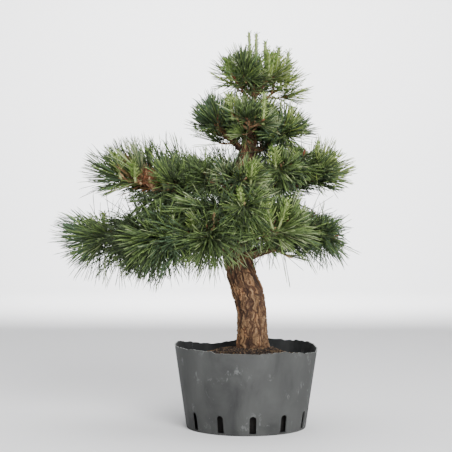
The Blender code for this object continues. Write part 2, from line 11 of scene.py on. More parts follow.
import bpy
import numpy as np
from bpy.props import FloatProperty, FloatVectorProperty, IntProperty, PointerProperty
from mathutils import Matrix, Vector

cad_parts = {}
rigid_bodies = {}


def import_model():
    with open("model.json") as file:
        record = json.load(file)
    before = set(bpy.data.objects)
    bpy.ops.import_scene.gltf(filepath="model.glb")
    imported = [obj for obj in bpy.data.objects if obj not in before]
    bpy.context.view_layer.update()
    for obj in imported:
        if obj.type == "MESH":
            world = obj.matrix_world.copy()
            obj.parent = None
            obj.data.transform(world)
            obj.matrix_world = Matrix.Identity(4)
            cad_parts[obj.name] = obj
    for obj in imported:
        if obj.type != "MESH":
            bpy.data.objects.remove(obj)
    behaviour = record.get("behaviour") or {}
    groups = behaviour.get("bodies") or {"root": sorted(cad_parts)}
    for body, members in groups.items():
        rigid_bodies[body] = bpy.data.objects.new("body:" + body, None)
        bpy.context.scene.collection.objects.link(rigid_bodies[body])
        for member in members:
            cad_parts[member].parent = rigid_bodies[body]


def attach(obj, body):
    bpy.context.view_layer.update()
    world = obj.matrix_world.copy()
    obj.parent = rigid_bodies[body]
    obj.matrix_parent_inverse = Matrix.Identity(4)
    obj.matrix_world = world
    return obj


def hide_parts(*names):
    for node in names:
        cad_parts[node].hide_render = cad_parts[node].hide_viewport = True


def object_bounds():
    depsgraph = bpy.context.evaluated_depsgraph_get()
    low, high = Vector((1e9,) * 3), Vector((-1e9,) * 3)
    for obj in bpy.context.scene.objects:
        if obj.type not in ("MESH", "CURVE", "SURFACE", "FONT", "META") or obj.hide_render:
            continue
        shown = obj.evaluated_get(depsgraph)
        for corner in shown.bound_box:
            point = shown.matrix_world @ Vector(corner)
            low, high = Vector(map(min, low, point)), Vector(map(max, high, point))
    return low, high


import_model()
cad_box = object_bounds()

bl_info = {
    "name": "Potted black pine",
    "version": (1, 0, 0),
    "blender": (4, 5, 0),
    "location": "3D View > Sidebar > Pine",
    "description": "Grows bark, twigs, needles, candles, pot and soil round the packed solids",
    "category": "Add Mesh",
}

UP = np.array((0.0, 0.0, 1.0))
GOLDEN_ANGLE = math.radians(137.508)
STEEP = 0.2
LAYERED_HEIGHT = 1.6
POINTS_AT_ONCE = 8000

# The pot, the soil, the trunk, the boughs and the masses have the sizes of the part's source. The
# rim's waves are (waves round it, height, turn in degrees).
POT_FOOT_RADIUS = 0.119
POT_RIM_RADIUS = 0.1425
POT_HEIGHT = 0.160
WALL_SLOPE = (POT_RIM_RADIUS - POT_FOOT_RADIUS) / POT_HEIGHT
POT_WALL = 0.0022
POT_FLOOR = 0.003
SLOT_COUNT = 12
SLOT_WIDTH = 0.013
SLOT_BOTTOM = 0.004
SLOT_TOP = 0.038
SLOT_TURN_DEG = -84.8
RIM_WAVES = (
    (1, 0.0020, -65.0), (2, 0.0028, 10.0), (3, 0.0027, -75.0), (5, 0.0018, 20.0), (11, 0.0006, 75.0),
)

# The pot's finer shape: rows of the wall from a share of the way up, an underside that ends within
# the wall, a ragged cut, a wall that is a little out of true, and the reach of what cuts the slots
POT_AROUND = 360
WALL_ROWS = 40
WALL_FROM = 0.02
FOOT_DEPTH = 0.25
RAGGED_HEIGHT = 0.0009
RAGGED_COUNTS = (60, 120, 180)
WALL_FLEX = 0.0005
SLOT_REACH = 0.012
SLOT_ARC_POINTS = 13

# The soil's top falls away from the trunk, as (distance from the pot's middle, fall)
SOIL_TOP = 0.152
SOIL_EDGE = 0.137
SOIL_SLOPE = ((0.0, 0.0), (0.056, 0.0), (0.075, 0.0045), (0.098, 0.0110))

# The soil's finer shape: rows of its top from a share of the way out, lumps and grains, counted across
# a tile of their pattern, a mound at the trunk, and the root ball's sides, as (distance inside the
# pot's foot or the soil's edge, height)
SOIL_GRID = (240, 90)
SOIL_FROM = 0.02
SOIL_OFF_WALL = 0.0008
SOIL_RADIUS = POT_FOOT_RADIUS + WALL_SLOPE * SOIL_EDGE - POT_WALL - SOIL_OFF_WALL
SHOULDER = (0.004, 0.110)
ROOT_BALL = (0.010, 0.045)
ROOT_BALL_FOOT = POT_FLOOR + 0.0005
LUMP_HEIGHT = 0.0022
GRAIN_HEIGHT = 0.0010
LUMP_TILE = 0.3
LUMPS_ACROSS, GRAINS_ACROSS = 12, 60
LUMP_SHIFT = 0.2
MOUND_HEIGHT = 0.007
MOUND_REACH = 0.014
CRUMB_SIZES = (0.0008, 0.0026)
CRUMB_SQUASH = (0.5, 1.3)
CRUMB_RAISED = 0.35
CRUMB_MARGIN = 0.003
CRUMBS_FROM = 0.002
CRUMBS_NEAR = 0.62
CRUMBS_SPREAD = 0.016
CRUMB_KINDS = (0.26, 0.40, 0.34)
FALLEN_COUNT = 110
FALLEN_LENGTHS = (0.018, 0.046)
FALLEN_SHORT = 0.008
FALLEN_WIDTH = 0.0010
FALLEN_BEND = 0.12
FALLEN_MARGIN = 0.02
FALLEN_TIP_MARGIN = 0.004
FALLEN_LIFTS = (0.0012, 0.0016)

# The trunk's middle line, as (height, x, y, radius)
TRUNK = (
    (0.1523, 0.0125, 0.000, 0.0330),
    (0.190, 0.0120, 0.000, 0.0295),
    (0.235, 0.0100, -0.002, 0.0295),
    (0.270, 0.0030, -0.004, 0.0305),
    (0.303, -0.0085, -0.004, 0.0290),
    (0.350, -0.0200, 0.000, 0.0272),
    (0.415, -0.0290, 0.006, 0.0235),
    (0.470, -0.0215, 0.006, 0.0205),
    (0.515, -0.0070, 0.002, 0.0180),
    (0.560, 0.0050, 0.000, 0.0155),
    (0.595, 0.0090, 0.000, 0.0110),
    (0.628, 0.0155, 0.000, 0.0070),
)
TRUNK_RINGS = 22
FLARE_DEPTH = 0.0040
FLARE_FADE = 0.020
FLARE_LOBES = 5
FLARE_TURN = 0.6

# A bough's heading is in degrees from +X towards +Y, and its run is level. It leaves the trunk at a
# height in metres, or another bough at a share of that bough's length.
Bough = namedtuple("Bough", "name parent leaves_at heading run rise arch root tip")
BOUGHS = (
    Bough("low_left", "trunk", 0.352, 181, 0.194, 0.014, 0.008, 0.0120, 0.0052),
    Bough("low_left_fore", "low_left", 0.42, 224, 0.058, 0.000, 0.000, 0.0056, 0.0040),
    Bough("low_left_rear", "low_left", 0.55, 132, 0.056, 0.010, 0.002, 0.0054, 0.0040),
    Bough("low_fore_left", "trunk", 0.356, 238, 0.088, 0.014, 0.002, 0.0085, 0.0048),
    Bough("low_fore", "trunk", 0.394, 266, 0.080, 0.018, 0.002, 0.0075, 0.0046),
    Bough("low_fore_right", "trunk", 0.372, 304, 0.084, 0.012, 0.006, 0.0080, 0.0048),
    Bough("low_right", "trunk", 0.338, 0, 0.122, 0.026, 0.002, 0.0115, 0.0052),
    Bough("low_right_fore", "low_right", 0.50, 312, 0.036, 0.012, 0.000, 0.0052, 0.0040),
    Bough("low_right_rear", "low_right", 0.55, 52, 0.050, 0.024, 0.000, 0.0054, 0.0040),
    Bough("low_rear_left", "trunk", 0.386, 118, 0.088, 0.006, 0.006, 0.0085, 0.0048),
    Bough("low_rear_right", "trunk", 0.392, 64, 0.082, 0.004, 0.006, 0.0080, 0.0048),
    Bough("mid_left", "trunk", 0.462, 180, 0.136, 0.018, 0.006, 0.0095, 0.0048),
    Bough("mid_left_fore", "mid_left", 0.45, 226, 0.048, -0.006, 0.000, 0.0050, 0.0038),
    Bough("mid_left_rear", "mid_left", 0.58, 134, 0.048, 0.006, 0.002, 0.0050, 0.0038),
    Bough("mid_right", "trunk", 0.460, 1, 0.122, 0.022, -0.002, 0.0095, 0.0048),
    Bough("mid_right_fore", "mid_right", 0.42, 312, 0.042, 0.018, 0.000, 0.0050, 0.0038),
    Bough("mid_right_rear", "mid_right", 0.50, 50, 0.042, 0.018, 0.000, 0.0050, 0.0038),
    Bough("mid_fore", "trunk", 0.462, 262, 0.066, 0.014, 0.002, 0.0070, 0.0044),
    Bough("mid_rear", "trunk", 0.490, 96, 0.066, 0.006, 0.004, 0.0070, 0.0044),
    Bough("upper_left", "trunk", 0.546, 178, 0.028, 0.022, 0.000, 0.0062, 0.0042),
    Bough("upper_right", "trunk", 0.542, 358, 0.040, 0.018, 0.000, 0.0062, 0.0042),
    Bough("upper_fore", "trunk", 0.574, 268, 0.036, 0.012, 0.000, 0.0056, 0.0040),
    Bough("upper_rear", "trunk", 0.568, 92, 0.040, 0.010, 0.000, 0.0056, 0.0040),
)
BOUGH_POINTS = 5

# A mass of foliage carries on from the tip of the bough of its name, and the top one from the trunk's:
# a stem and side twigs. Curl is how far twigs turn up past their elbows, and spin is the turn from one
# side twig to the next, in degrees.
Mass = namedtuple("Mass", "name stem side twigs curl seed spin", defaults=(180,))
MASSES = (
    Mass("low_left", 0.090, 0.068, 5, 0.55, 11),
    Mass("low_left_fore", 0.062, 0.060, 4, 0.35, 12),
    Mass("low_left_rear", 0.062, 0.060, 4, 0.6, 13),
    Mass("low_fore_left", 0.060, 0.062, 4, 0.6, 14),
    Mass("low_fore", 0.056, 0.058, 4, 0.6, 34),
    Mass("low_fore_right", 0.060, 0.062, 4, 0.6, 15),
    Mass("low_right", 0.060, 0.064, 4, 0.7, 16),
    Mass("low_right_fore", 0.052, 0.056, 3, 0.7, 17),
    Mass("low_right_rear", 0.056, 0.060, 3, 0.7, 18),
    Mass("low_rear_left", 0.064, 0.066, 4, 0.6, 19),
    Mass("low_rear_right", 0.062, 0.064, 4, 0.6, 20),
    Mass("mid_left", 0.086, 0.066, 5, 0.8, 21),
    Mass("mid_left_fore", 0.056, 0.060, 4, 0.4, 22),
    Mass("mid_left_rear", 0.056, 0.060, 4, 0.7, 23),
    Mass("mid_right", 0.054, 0.058, 4, 0.8, 24),
    Mass("mid_right_fore", 0.052, 0.058, 4, 0.7, 25),
    Mass("mid_right_rear", 0.052, 0.058, 4, 0.7, 26),
    Mass("mid_fore", 0.056, 0.060, 4, 0.6, 27),
    Mass("mid_rear", 0.056, 0.060, 4, 0.6, 28),
    Mass("upper_left", 0.036, 0.050, 4, 1.0, 29),
    Mass("upper_right", 0.046, 0.052, 4, 0.9, 30),
    Mass("upper_fore", 0.044, 0.040, 3, 0.6, 31),
    Mass("upper_rear", 0.046, 0.040, 3, 0.6, 32),
    Mass("top", 0.066, 0.066, 8, 0.35, 33, 137.5),
)
MASS_NUMBERS = {mass.name: number for number, mass in enumerate(MASSES)}
STEM_SUNK = 0.002
SIDE_ANGLE_DEG = 56.0
SIDE_ANGLE_SPREAD_DEG = 8.0
SIDE_TURN_SPREAD_DEG = 16.0
FIRST_SIDE_AT = 0.12
SIDES_SPAN = 0.66
SIDE_LENGTHENING = 0.1
SIDE_SHORTENING = 0.4
SIDE_LENGTH_SPREAD = 0.1
ELBOW = 0.50
CURL_SPREAD = 0.4

# Bark: plates are counted round a limb, and relief is a share of the limb's radius
TRUNK_SINK = 0.010
TRUNK_GRID = (180, 520)
TRUNK_PLATES = 14
PLATE_LENGTH = 0.036
TRUNK_RELIEF = 0.20
TRUNK_MEAN = 0.46
GNARLS = 5
GNARL_LENGTH = 0.05
GNARL_SHARE = 0.035
BOUGH_GRID = (26, 64)
BOUGH_PLATES = 6
BOUGH_RELIEF = 0.16
BOUGH_MEAN = 0.6
BOUGH_STRETCH = 1.6
BOUGH_WOBBLES = 7
WOBBLE_SHARE = 0.22
COLLAR_REACH = 0.016
COLLAR_SWELL = 0.45

# The bark's own shape: how far its lines wander, how wide its cracks are in plates, how deep they
# are, how much each layer adds to its height, and how many of a thing there are to a plate, streaks
# and specks both round the limb and along it
WANDER_ROUND = 0.35
WANDER_ALONG = 0.45
FISSURE_STRETCH = 0.55
FISSURE_WIDTH = (0.02, 0.17)
CRACK_WIDTH = 0.17
FLAKE_EDGE = 0.10
LOWEST_FLAKE = 0.3
FISSURE_DEPTH = 0.80
CRACK_DEPTH = 0.52
PLAIN_HEIGHT, FLAKE_HEIGHT, STREAK_HEIGHT, ROUGH_HEIGHT = 0.34, 0.32, 0.28, 0.26
WAVES_ROUND, WAVES_ALONG, FLAKES = 3.0, 2.0, 2
STREAKS, SPECKS = (4, 1.5), (6, 8.0)

# Twigs taper through these radii, and each twig bears shoots of its own
STEM_RADII = (0.0044, 0.0034, 0.0022)
SIDE_RADII = (0.0030, 0.0024, 0.0017)
SHOOT_RADII = (0.0021, 0.0017, 0.0012)
SHOOTS_FROM = 0.25
SHOOTS_SPAN = 0.60
SHOOT_ANGLE_DEG = 46.0
SHOOT_ANGLE_SPREAD_DEG = 10
SHOOT_SHARE = 0.50
SHOOT_LENGTHS = (0.7, 1.1)
SHOOT_CURLS = (0.3, 0.9)
FIRST_SHOOT = 1.15
SHOOT_SHORTENING = 0.4
TWIG_RINGS = 8
TWIG_SIDES = 7
KNOT_SHARE = 0.16

# Spurs stand on the outer part of the boughs and of the trunk
SPUR_SPACING = 0.019
FEWEST_SPURS = 3
TRUNK_SPURS_FROM = 0.86
TRUNK_SPURS = 10
SPURS_FROM = 0.42
SPURS_TO = 0.95
SPUR_ANGLE_DEG = 62.0
SPUR_TURN_SPREAD = 0.5
SPUR_LENGTH = 0.034
SPUR_LENGTHS = (0.7, 1.2)
SPUR_CURLS = (0.5, 1.1)

# Candles of new growth by mass, each as (twig, length, heading, lean, length of its young needles).
# It stands on the tip of one of its mass's first twigs and leans to a heading, both in degrees. Its
# needles are scales at first, and longer the further it has opened. One without needles is a bare
# shoot with a bud, and one that is marked True has died and turned rusty brown.
Candle = namedtuple("Candle", "mass twig length heading lean needles dry", defaults=(False,))
CANDLE_ROWS = {
    "top": (
        (0, 0.098, 180, 4, 0.0062), (0, 0.096, 350, 1, 0.0062), (4, 0.076, 190, 3, 0.0065),
        (4, 0.050, 270, 12, 0.010), (6, 0.058, 0, 14, 0.007), (6, 0.052, 170, 8, 0.010),
        (1, 0.072, 10, 6, 0.008), (1, 0.052, 300, 20, 0.011), (4, 0.052, 330, 12, 0.010),
        (6, 0.040, 330, 12, 0.011), (1, 0.046, 190, 8, 0.011), (5, 0.036, 180, 20, 0.010),
        (2, 0.040, 190, 16, 0.012), (3, 0.056, 40, 10, 0.012), (8, 0.038, 120, 14, 0.010),
    ),
    "upper_fore": ((2, 0.060, 20, 4, 0.008), (1, 0.048, 200, 8, 0.010)),
    "upper_left": ((2, 0.056, 0, 16, 0.008),),
    "upper_right": ((3, 0.050, 20, 12, 0.006),),
    "upper_rear": ((0, 0.048, 90, 10, 0.010),),
    "mid_left": ((4, 0.050, 180, 16, 0.014), (2, 0.038, 200, 8, 0.012), (5, 0.034, 140, 12, 0.012)),
    "mid_left_fore": (
        (1, 0.048, 90, 6, 0.010), (0, 0.046, 160, 8, 0.012), (0, 0.030, 0, 3, 0.0),
        (1, 0.044, 190, 24, 0.020, True), (1, 0.036, 170, 44, 0.020, True),
        (1, 0.032, 230, 34, 0.018, True), (0, 0.024, 60, 30, 0.012, True),
    ),
    "mid_left_rear": ((0, 0.042, 100, 10, 0.010),),
    "mid_fore": ((2, 0.044, 300, 12, 0.014),),
    "mid_right": ((3, 0.058, 180, 3, 0.007), (4, 0.044, 20, 22, 0.016)),
    "mid_right_fore": ((1, 0.042, 250, 12, 0.014),),
    "mid_right_rear": ((2, 0.046, 90, 10, 0.010),),
    "low_left": ((3, 0.044, 120, 6, 0.009),),
    "low_left_rear": ((0, 0.040, 110, 14, 0.012),),
    "low_fore_left": ((0, 0.040, 230, 20, 0.012), (4, 0.042, 0, 3, 0.0)),
    "low_fore": ((4, 0.036, 200, 14, 0.008),),
    "low_fore_right": ((0, 0.062, 190, 18, 0.014), (0, 0.060, 350, 24, 0.013)),
    "low_right_fore": ((0, 0.044, 330, 16, 0.012),),
    "low_rear_left": ((1, 0.046, 100, 12, 0.012),),
    "low_rear_right": ((1, 0.044, 60, 16, 0.012),),
}
CANDLES = [Candle(mass, *row) for mass, rows in CANDLE_ROWS.items() for row in rows]
CANDLE_FEET_APART = 0.004
CANDLE_SUNK = 0.006
CANDLE_UPRIGHT = 0.2
CANDLE_MARKS = (0, 0.5, 0.92, 1)
CANDLE_RADII = (0.0026, 0.0030, 0.0029, 0.0022)
BARE_RADII = (0.0022, 0.0020, 0.0044, 0.0012)
KNOB_SPACING = 0.0085
KNOB_SHARE = 0.45
CANDLE_RINGS = 18
CANDLE_SIDES = 8
STEM_UNEVEN = 0.2

# The room that old needles leave: round a candle and outwards of it, from these shares of its height.
# On the photo's side it turns towards the eye, at the tree's top it is narrow, and a share of the
# candle's own needles adds to it.
CANDLE_ROOM = 0.0056
CANDLE_OPENING = 0.060
OPEN_AT = (0.3, 0.55, 0.8)
TOWARDS_EYE = 1.2
FRONT = 0.02
TOP_OPENING = 0.2
TOP_ROOM = 0.5
GREEN_ROOM = 0.4
DRY_ROOM = 0.9
NARROW_END = 0.7

# Young needles of a candle: how much of its foot is bare, how far they lean, in degrees, how that
# changes as it opens and towards its tip, and how their length starts at the foot and how it swells.
# Those of a dead one lean out further, and few are left.
FOOT_BARE = 0.04
BARE_BY_OPENING = 14
YOUNG_LEAN_DEG = 66
LEAN_BY_OPENING_DEG = 1000
LEAN_BY_SHARE_DEG = 14
DRY_LEAN_DEG = 22
YOUNG_SPREAD_DEG = 9
DRY_SPREAD_DEG = 24
DRY_LEFT = 0.4
YOUNG_LENGTHS = (0.6, 1.2)
YOUNG_FOOT, YOUNG_SWELL, SWELLS_TO = 0.9, 0.4, 0.8
YOUNG_WIDTH = 0.0015
DRY_WIDTH = 0.0012
YOUNG_BEND = 0.12
# Shares of pale young needles: few on the lit top, and more below, where the paler green is painted light
# in the shade of the tiers above
PALE_SHARE_LIT_TOP = 0.08
PALE_SHARE_SHADED_BELOW = 0.50

# Resting buds are spindles through these radii, at some of the twigs' tips
BUD_SHARE = 0.5
BUD_LENGTHS = (0.008, 0.015)
BUD_WIDTHS = (0.8, 1.2)
BUD_SUNK = 0.002
BUD_MARKS = (0, 0.3, 0.6, 1)
BUD_RADII = (0.0016, 0.0026, 0.0021, 0.0005)
BUD_RINGS = 7
BUD_SIDES = 6
PALE_BUDS = 0.4

# Needles: three-sided blades in pairs, which narrow past the knee. Their lean and their sinking go
# from most at a twig's foot to least at its tip, and shares of a needle are tried for free room.
BLADE_CORNERS = 7
BLADE_FACES = 10
ROOT_WIDTH = 0.8
KNEE = 0.88
BEND = 0.10
PAIR_SPREAD = 0.06
NEEDLES_FROM = 0.40
NEEDLE_JITTER = 0.02
NARROWEST_LEAN_DEG = 12.0
LEAN_SPREAD_DEG = 15.0
LEAN_POWER = 1.3
TURN_SPREAD = 0.4
SINKING = 1.5
NEEDLE_LENGTHS = (0.74, 1.10)
NEEDLE_WIDTHS = (0.85, 1.15)
OLDEST_LENGTH = 1.12
NEEDLE_SHORTENING = 0.14
SHORTEST = 0.3
FULLNESS = (0.42, 1.0)
LIMB_ROOM = 0.0015
BOX_ROOM = 0.010
FREE_SHARES = (0.45, 0.7, 1.0)

# How the needles of a tier, or of one mass, turn: outwards from the trunk, up and aside to +X. Then
# how long they are against the longest, and how far the oldest lean from their twig, in degrees.
Habit = namedtuple("Habit", "outwards rise length widest aside", defaults=(0.0,))
HABITS = {
    "low": Habit(0.28, -0.74, 1.04, 112),
    "mid": Habit(0.28, 0.08, 0.90, 88),
    "upper": Habit(0.06, 0.20, 0.80, 92),
    "top": Habit(0.12, 0.22, 0.80, 118, 0.42),
    "low_left": Habit(0.60, -0.26, 1.16, 114),
    "low_left_rear": Habit(0.20, -0.84, 0.92, 104),
    "low_fore_right": Habit(0.20, 0.16, 0.92, 88),
    "low_right": Habit(0.16, -0.72, 0.84, 92),
    "low_right_fore": Habit(0.16, -0.08, 0.76, 84),
    "low_right_rear": Habit(0.10, -0.60, 0.74, 88),
    "mid_left": Habit(0.68, 0.16, 1.10, 92),
    "mid_left_fore": Habit(0.28, -0.06, 0.86, 88),
    "mid_left_rear": Habit(0.28, -0.30, 0.82, 88),
    "mid_fore": Habit(0.25, -0.20, 0.80, 88),
    "mid_rear": Habit(0.25, -0.26, 0.80, 88),
    "mid_right": Habit(0.46, -0.06, 0.84, 84),
    "mid_right_fore": Habit(0.12, -0.56, 0.60, 84),
    "mid_right_rear": Habit(0.20, -0.66, 0.66, 84),
    "upper_left": Habit(0.14, 0.70, 0.86, 80),
    "upper_right": Habit(0.20, -0.14, 0.80, 96),
    "upper_fore": Habit(0.06, 0.24, 0.56, 66),
    "upper_rear": Habit(0.06, 0.04, 0.74, 88),
}

# Where sky shows between and beside the tiers, seen from EYE: strips with round ends in the plane
# y = 0, each from (x, z, half its width) to the same. A few stray needles still cross them.
EYE = (-0.04, -2.4, 0.40)
OPENINGS = (
    ((-0.336, 0.450, 0.016), (-0.226, 0.437, 0.005)),
    ((0.118, 0.446, 0.008), (0.198, 0.446, 0.022)),
    ((0.108, 0.574, 0.008), (0.132, 0.558, 0.008)),
    ((-0.112, 0.556, 0.004), (-0.016, 0.550, 0.004)),
    ((0.214, 0.428, 0.016), (0.220, 0.372, 0.016)),
    ((-0.408, 0.340, 0.014), (-0.368, 0.308, 0.014)),
    ((0.040, 0.328, 0.008), (0.112, 0.324, 0.008)),
)
STRAY_SHARE = 0.07

# Shades of the sprays: each spray is dealt one, and a share of its pairs is a step darker or paler
DARK, DEEP, BLUISH, FRESH, SAGE, OLIVE, DRY = range(7)
DARKER = (DARK, DARK, DARK, DEEP, BLUISH, DEEP, DRY)
PALER = (DEEP, FRESH, FRESH, SAGE, SAGE, SAGE, OLIVE)
DARKER_SHARE = 0.32
PALER_SHARE = 0.17
OLD_SHADED_NEEDLES = 0.3
SHADE_MIXES = {
    "low": ((DARK, 0.12), (DEEP, 0.50), (BLUISH, 0.24), (FRESH, 0.10), (SAGE, 0.04)),
    "mid": ((DARK, 0.08), (DEEP, 0.46), (BLUISH, 0.22), (FRESH, 0.15), (SAGE, 0.03), (OLIVE, 0.06)),
    "upper": ((DEEP, 0.38), (BLUISH, 0.20), (FRESH, 0.28), (SAGE, 0.05), (OLIVE, 0.09)),
    "top": ((DARK, 0.10), (DEEP, 0.50), (BLUISH, 0.12), (FRESH, 0.20), (OLIVE, 0.08)),
}

# Places where the sprays all have one shade: (middle, reach, shade)
TINTED = (
    ((-0.205, -0.02, 0.487), 0.014, DRY),
    ((-0.012, -0.04, 0.560), 0.022, DRY),
    # The two DARK places are painted shade: the sprays by the trunk's middle and in the middle of the low
    # left tier take the darkest green
    ((-0.005, -0.02, 0.470), 0.045, DARK),
    ((-0.235, -0.06, 0.395), 0.045, DARK),
    ((-0.150, -0.08, 0.345), 0.045, BLUISH),
    ((-0.280, 0.00, 0.545), 0.024, FRESH),
    ((-0.275, -0.03, 0.395), 0.022, FRESH),
    ((0.165, 0.00, 0.530), 0.045, OLIVE),
    ((0.075, 0.00, 0.690), 0.045, OLIVE),
    ((0.050, -0.14, 0.420), 0.050, FRESH),
    ((-0.090, 0.00, 0.620), 0.045, BLUISH),
    ((0.170, 0.00, 0.410), 0.060, BLUISH),
    ((-0.330, 0.00, 0.390), 0.050, BLUISH),
)

# Joined pieces of foliage, by how the names of their masses start
FOLIAGE_PIECES = {
    "foliage_low_left": "low_left",
    "foliage_low_fore": "low_fore",
    "foliage_low_right": "low_right",
    "foliage_low_rear": "low_rear",
    "foliage_mid_left": "mid_left",
    "foliage_mid_right": "mid_right",
    "foliage_mid_middle": ("mid_fore", "mid_rear"),
    "foliage_upper": "upper",
    "foliage_top": "top",
}

# The stage: lights as (name, place, aim, width, watts), and a round sweep of paper
LIGHTS = (
    ("key_light", (0.9, -2.9, 1.7), (0.0, 0.0, 0.4), 2.0, 218.0),
    ("fill_light", (-2.4, -1.6, 1.3), (0.0, 0.0, 0.4), 2.4, 4.0),
    ("top_light", (-0.2, 0.3, 2.8), (0.0, 0.0, 0.3), 2.4, 60.0),
    ("backdrop_light", (0.0, 3.4, 2.4), (0.0, 6.4, 0.9), 2.6, 400.0),
)
ROOM_COLOUR = "#f4f5f8"
ROOM_LIGHT = 0.42
SWEEP_AROUND = 96
SWEEP_MIDDLE = 0.6
SWEEP_FLAT = 5.0
SWEEP_BEND = 1.4
SWEEP_HEIGHT = 3.4
SWEEP_ARC_POINTS = 14
SENSOR_MM = 36.0


# Settings


def hex_shares(word):
    """Red, green and blue of a hex word, each from 0 to 1."""
    return tuple(int(word[i : i + 2], 16) / 255 for i in (1, 3, 5))


def colour(name, word, description):
    """A colour setting whose default is an sRGB hex word."""
    shares = hex_shares(word)
    return FloatVectorProperty(
        name=name, description=description, default=shares, subtype="COLOR_GAMMA", size=3
    )


def whole_number(name, value, low, high, description):
    """A whole number that a user sets."""
    return IntProperty(name=name, description=description, default=value, min=low, max=high)


def metres(name, value, low, high, description):
    """A length that a user sets."""
    return FloatProperty(
        name=name, description=description, default=value, min=low, max=high, unit="LENGTH"
    )


class PineBarkSettings(bpy.types.PropertyGroup):
    relief: FloatProperty(
        name="Relief", description="How high the plates of bark stand, against the usual height",
        default=1.0, min=0.0, max=2.0, subtype="FACTOR",
    )
    # The fissures' colour is painted shade, and the ridges' paler colour is worn grey with a painted
    # highlight
    fissure: colour("Fissures", "#2e231b", "Colour deep between the plates")
    plate: colour("Plates", "#4c3828", "Colour of most of the bark")
    ridge_wear_and_highlight: colour("Ridges", "#8d765b", "Colour of the most worn plates")


class PineFoliageSettings(bpy.types.PropertyGroup):
    needles_per_shoot: whole_number("Needles per shoot", 84, 10, 300, "How many needles each shoot bears")
    shoots_per_twig: whole_number("Shoots per twig", 2, 0, 6, "How many finer shoots grow from each twig")
    needle_length: metres("Needle length", 0.074, 0.02, 0.15, "Length of a full-grown needle")
    needle_width: metres(
        "Needle width", 0.0014, 0.0005, 0.004, "Width of a full-grown needle at its knee"
    )
    # The dark green is partly the old needles' own colour and partly painted shade deep in the sprays
    dark: colour("Dark green", "#344028", "Old needles within the sprays")
    deep: colour("Deep green", "#4e6136", "Needles of the usual sprays")
    bluish: colour("Bluish green", "#495f43", "Needles of the bluish sprays")
    fresh: colour("Fresh green", "#708648", "Needles of the younger sprays")
    sage: colour("Sage", "#939e73", "Needles of the sprays with a pale bloom")
    olive: colour("Olive", "#869648", "Needles of the yellowish sprays")
    dry: colour("Dry", "#74593b", "Last year's dry needles")


class PineCandleSettings(bpy.types.PropertyGroup):
    needles_per_candle: whole_number(
        "Needles per candle", 96, 10, 300, "How many young needles clothe each candle"
    )
    stem: colour("Candle stem", "#7a8653", "Colour of the soft stem of new growth")
    young: colour("Young needles", "#627c35", "Colour of the short young needles")
    # The pale green is dealt more often to candles below the top, as painted light in the shade of the
    # tiers
    tender: colour("Tender needles", "#95a861", "Colour of the shortest young needles")
    dry: colour("Dry needles", "#84573a", "Colour of the young needles that have died")
    rust: colour("Rust", "#693b25", "Colour of the rusty scales round most buds")
    bud: colour("Bud", "#a88c66", "Colour of the pale scales round the other buds")


class PinePotSettings(bpy.types.PropertyGroup):
    wall: metres("Wall", POT_WALL, 0.001, 0.005, "Thickness of the pot's wall")
    plastic: colour("Plastic", "#3d3e3d", "Colour of the weathered plastic")
    # The inside's near-black colour is painted shade on the inner wall, along with some dirt
    inside: colour("Inside", "#1d1e1f", "Colour of the damp inside of the wall")
    cut: colour("Cut edge", "#8d908c", "Colour of the roughly cut rim")
    scuffs: colour("Scuffs", "#5b5d5c", "Colour of scuffs and dried splashes")
    stains: colour("Stains", "#2d2e2e", "Colour of darker, damp stains")


class PineSoilSettings(bpy.types.PropertyGroup):
    crumbs: whole_number("Crumbs", 3200, 0, 8000, "How many crumbs and bark chips lie on the soil")
    earth: colour("Earth", "#130d09", "Colour of the moist soil")
    crumb: colour("Crumbs", "#4f3e2e", "Colour of the dry crumbs")


class PineStudioSettings(bpy.types.PropertyGroup):
    eye: FloatVectorProperty(
        name="Eye", description="Where the camera stands", default=EYE, subtype="TRANSLATION",
        unit="LENGTH", size=3,
    )
    lens: FloatProperty(
        name="Lens", description="Focal length in millimetres on a 36 mm sensor", default=95.6,
        min=10, max=300,
    )
    paper: colour("Paper", "#e9e9ea", "Colour of the floor and the backdrop")


# Arrays


def unit(vectors):
    """Vectors divided by their lengths."""
    vectors = np.asarray(vectors, float)
    return vectors / np.maximum(np.linalg.norm(vectors, axis=-1, keepdims=True), 1e-12)


def smooth_step(low, high, values):
    """Eased shares from 0 at low to 1 at high: 3 s**2 - 2 s**3."""
    share = np.clip((values - low) / (high - low), 0, 1)
    return share * share * (3 - 2 * share)


def frames(ways):
    """Two unit vectors square to each direction: one level, and one as near upright as can be."""
    ways = np.asarray(ways, float)
    level = np.cross(ways, UP)
    steep = np.linalg.norm(level, axis=-1, keepdims=True) < STEEP
    level = unit(np.where(steep, (1.0, 0.0, 0.0), level))
    level = unit(level - ways * (level * ways).sum(-1, keepdims=True))
    return level, unit(np.cross(level, ways))


def leaning(ways, leans, turns):
    """Unit vectors that lean away from directions, turned about them from the level side."""
    level, upright = frames(ways)
    leans, turns = np.asarray(leans)[..., None], np.asarray(turns)[..., None]
    aside = level * np.cos(turns) + upright * np.sin(turns)
    return unit(ways * np.cos(leans) + aside * np.sin(leans))


def even_turns(count):
    """Turns of columns that are spread evenly round a limb, in radians."""
    return np.arange(count) * 2 * math.pi / count


def rings_about(ways, count):
    """Rings of unit vectors square to directions: level * cos turn + upright * sin turn."""
    level, upright = frames(ways)
    turns = even_turns(count)
    return level[..., None, :] * np.cos(turns)[:, None] + upright[..., None, :] * np.sin(turns)[:, None]


def about_axis(out, turn, height=0.0):
    """Points at (out * cos turn, out * sin turn, height)."""
    return np.stack(np.broadcast_arrays(out * np.cos(turn), out * np.sin(turn), height), -1)


def level_way(degrees):
    """The level direction at an angle from +X towards +Y."""
    turn = math.radians(degrees)
    return np.array((math.cos(turn), math.sin(turn), 0.0))


def on_line(line, marks, share):
    """The point at a share of a line, whose own points lie at the marks."""
    return np.array([np.interp(share, marks, line[:, k]) for k in range(3)])


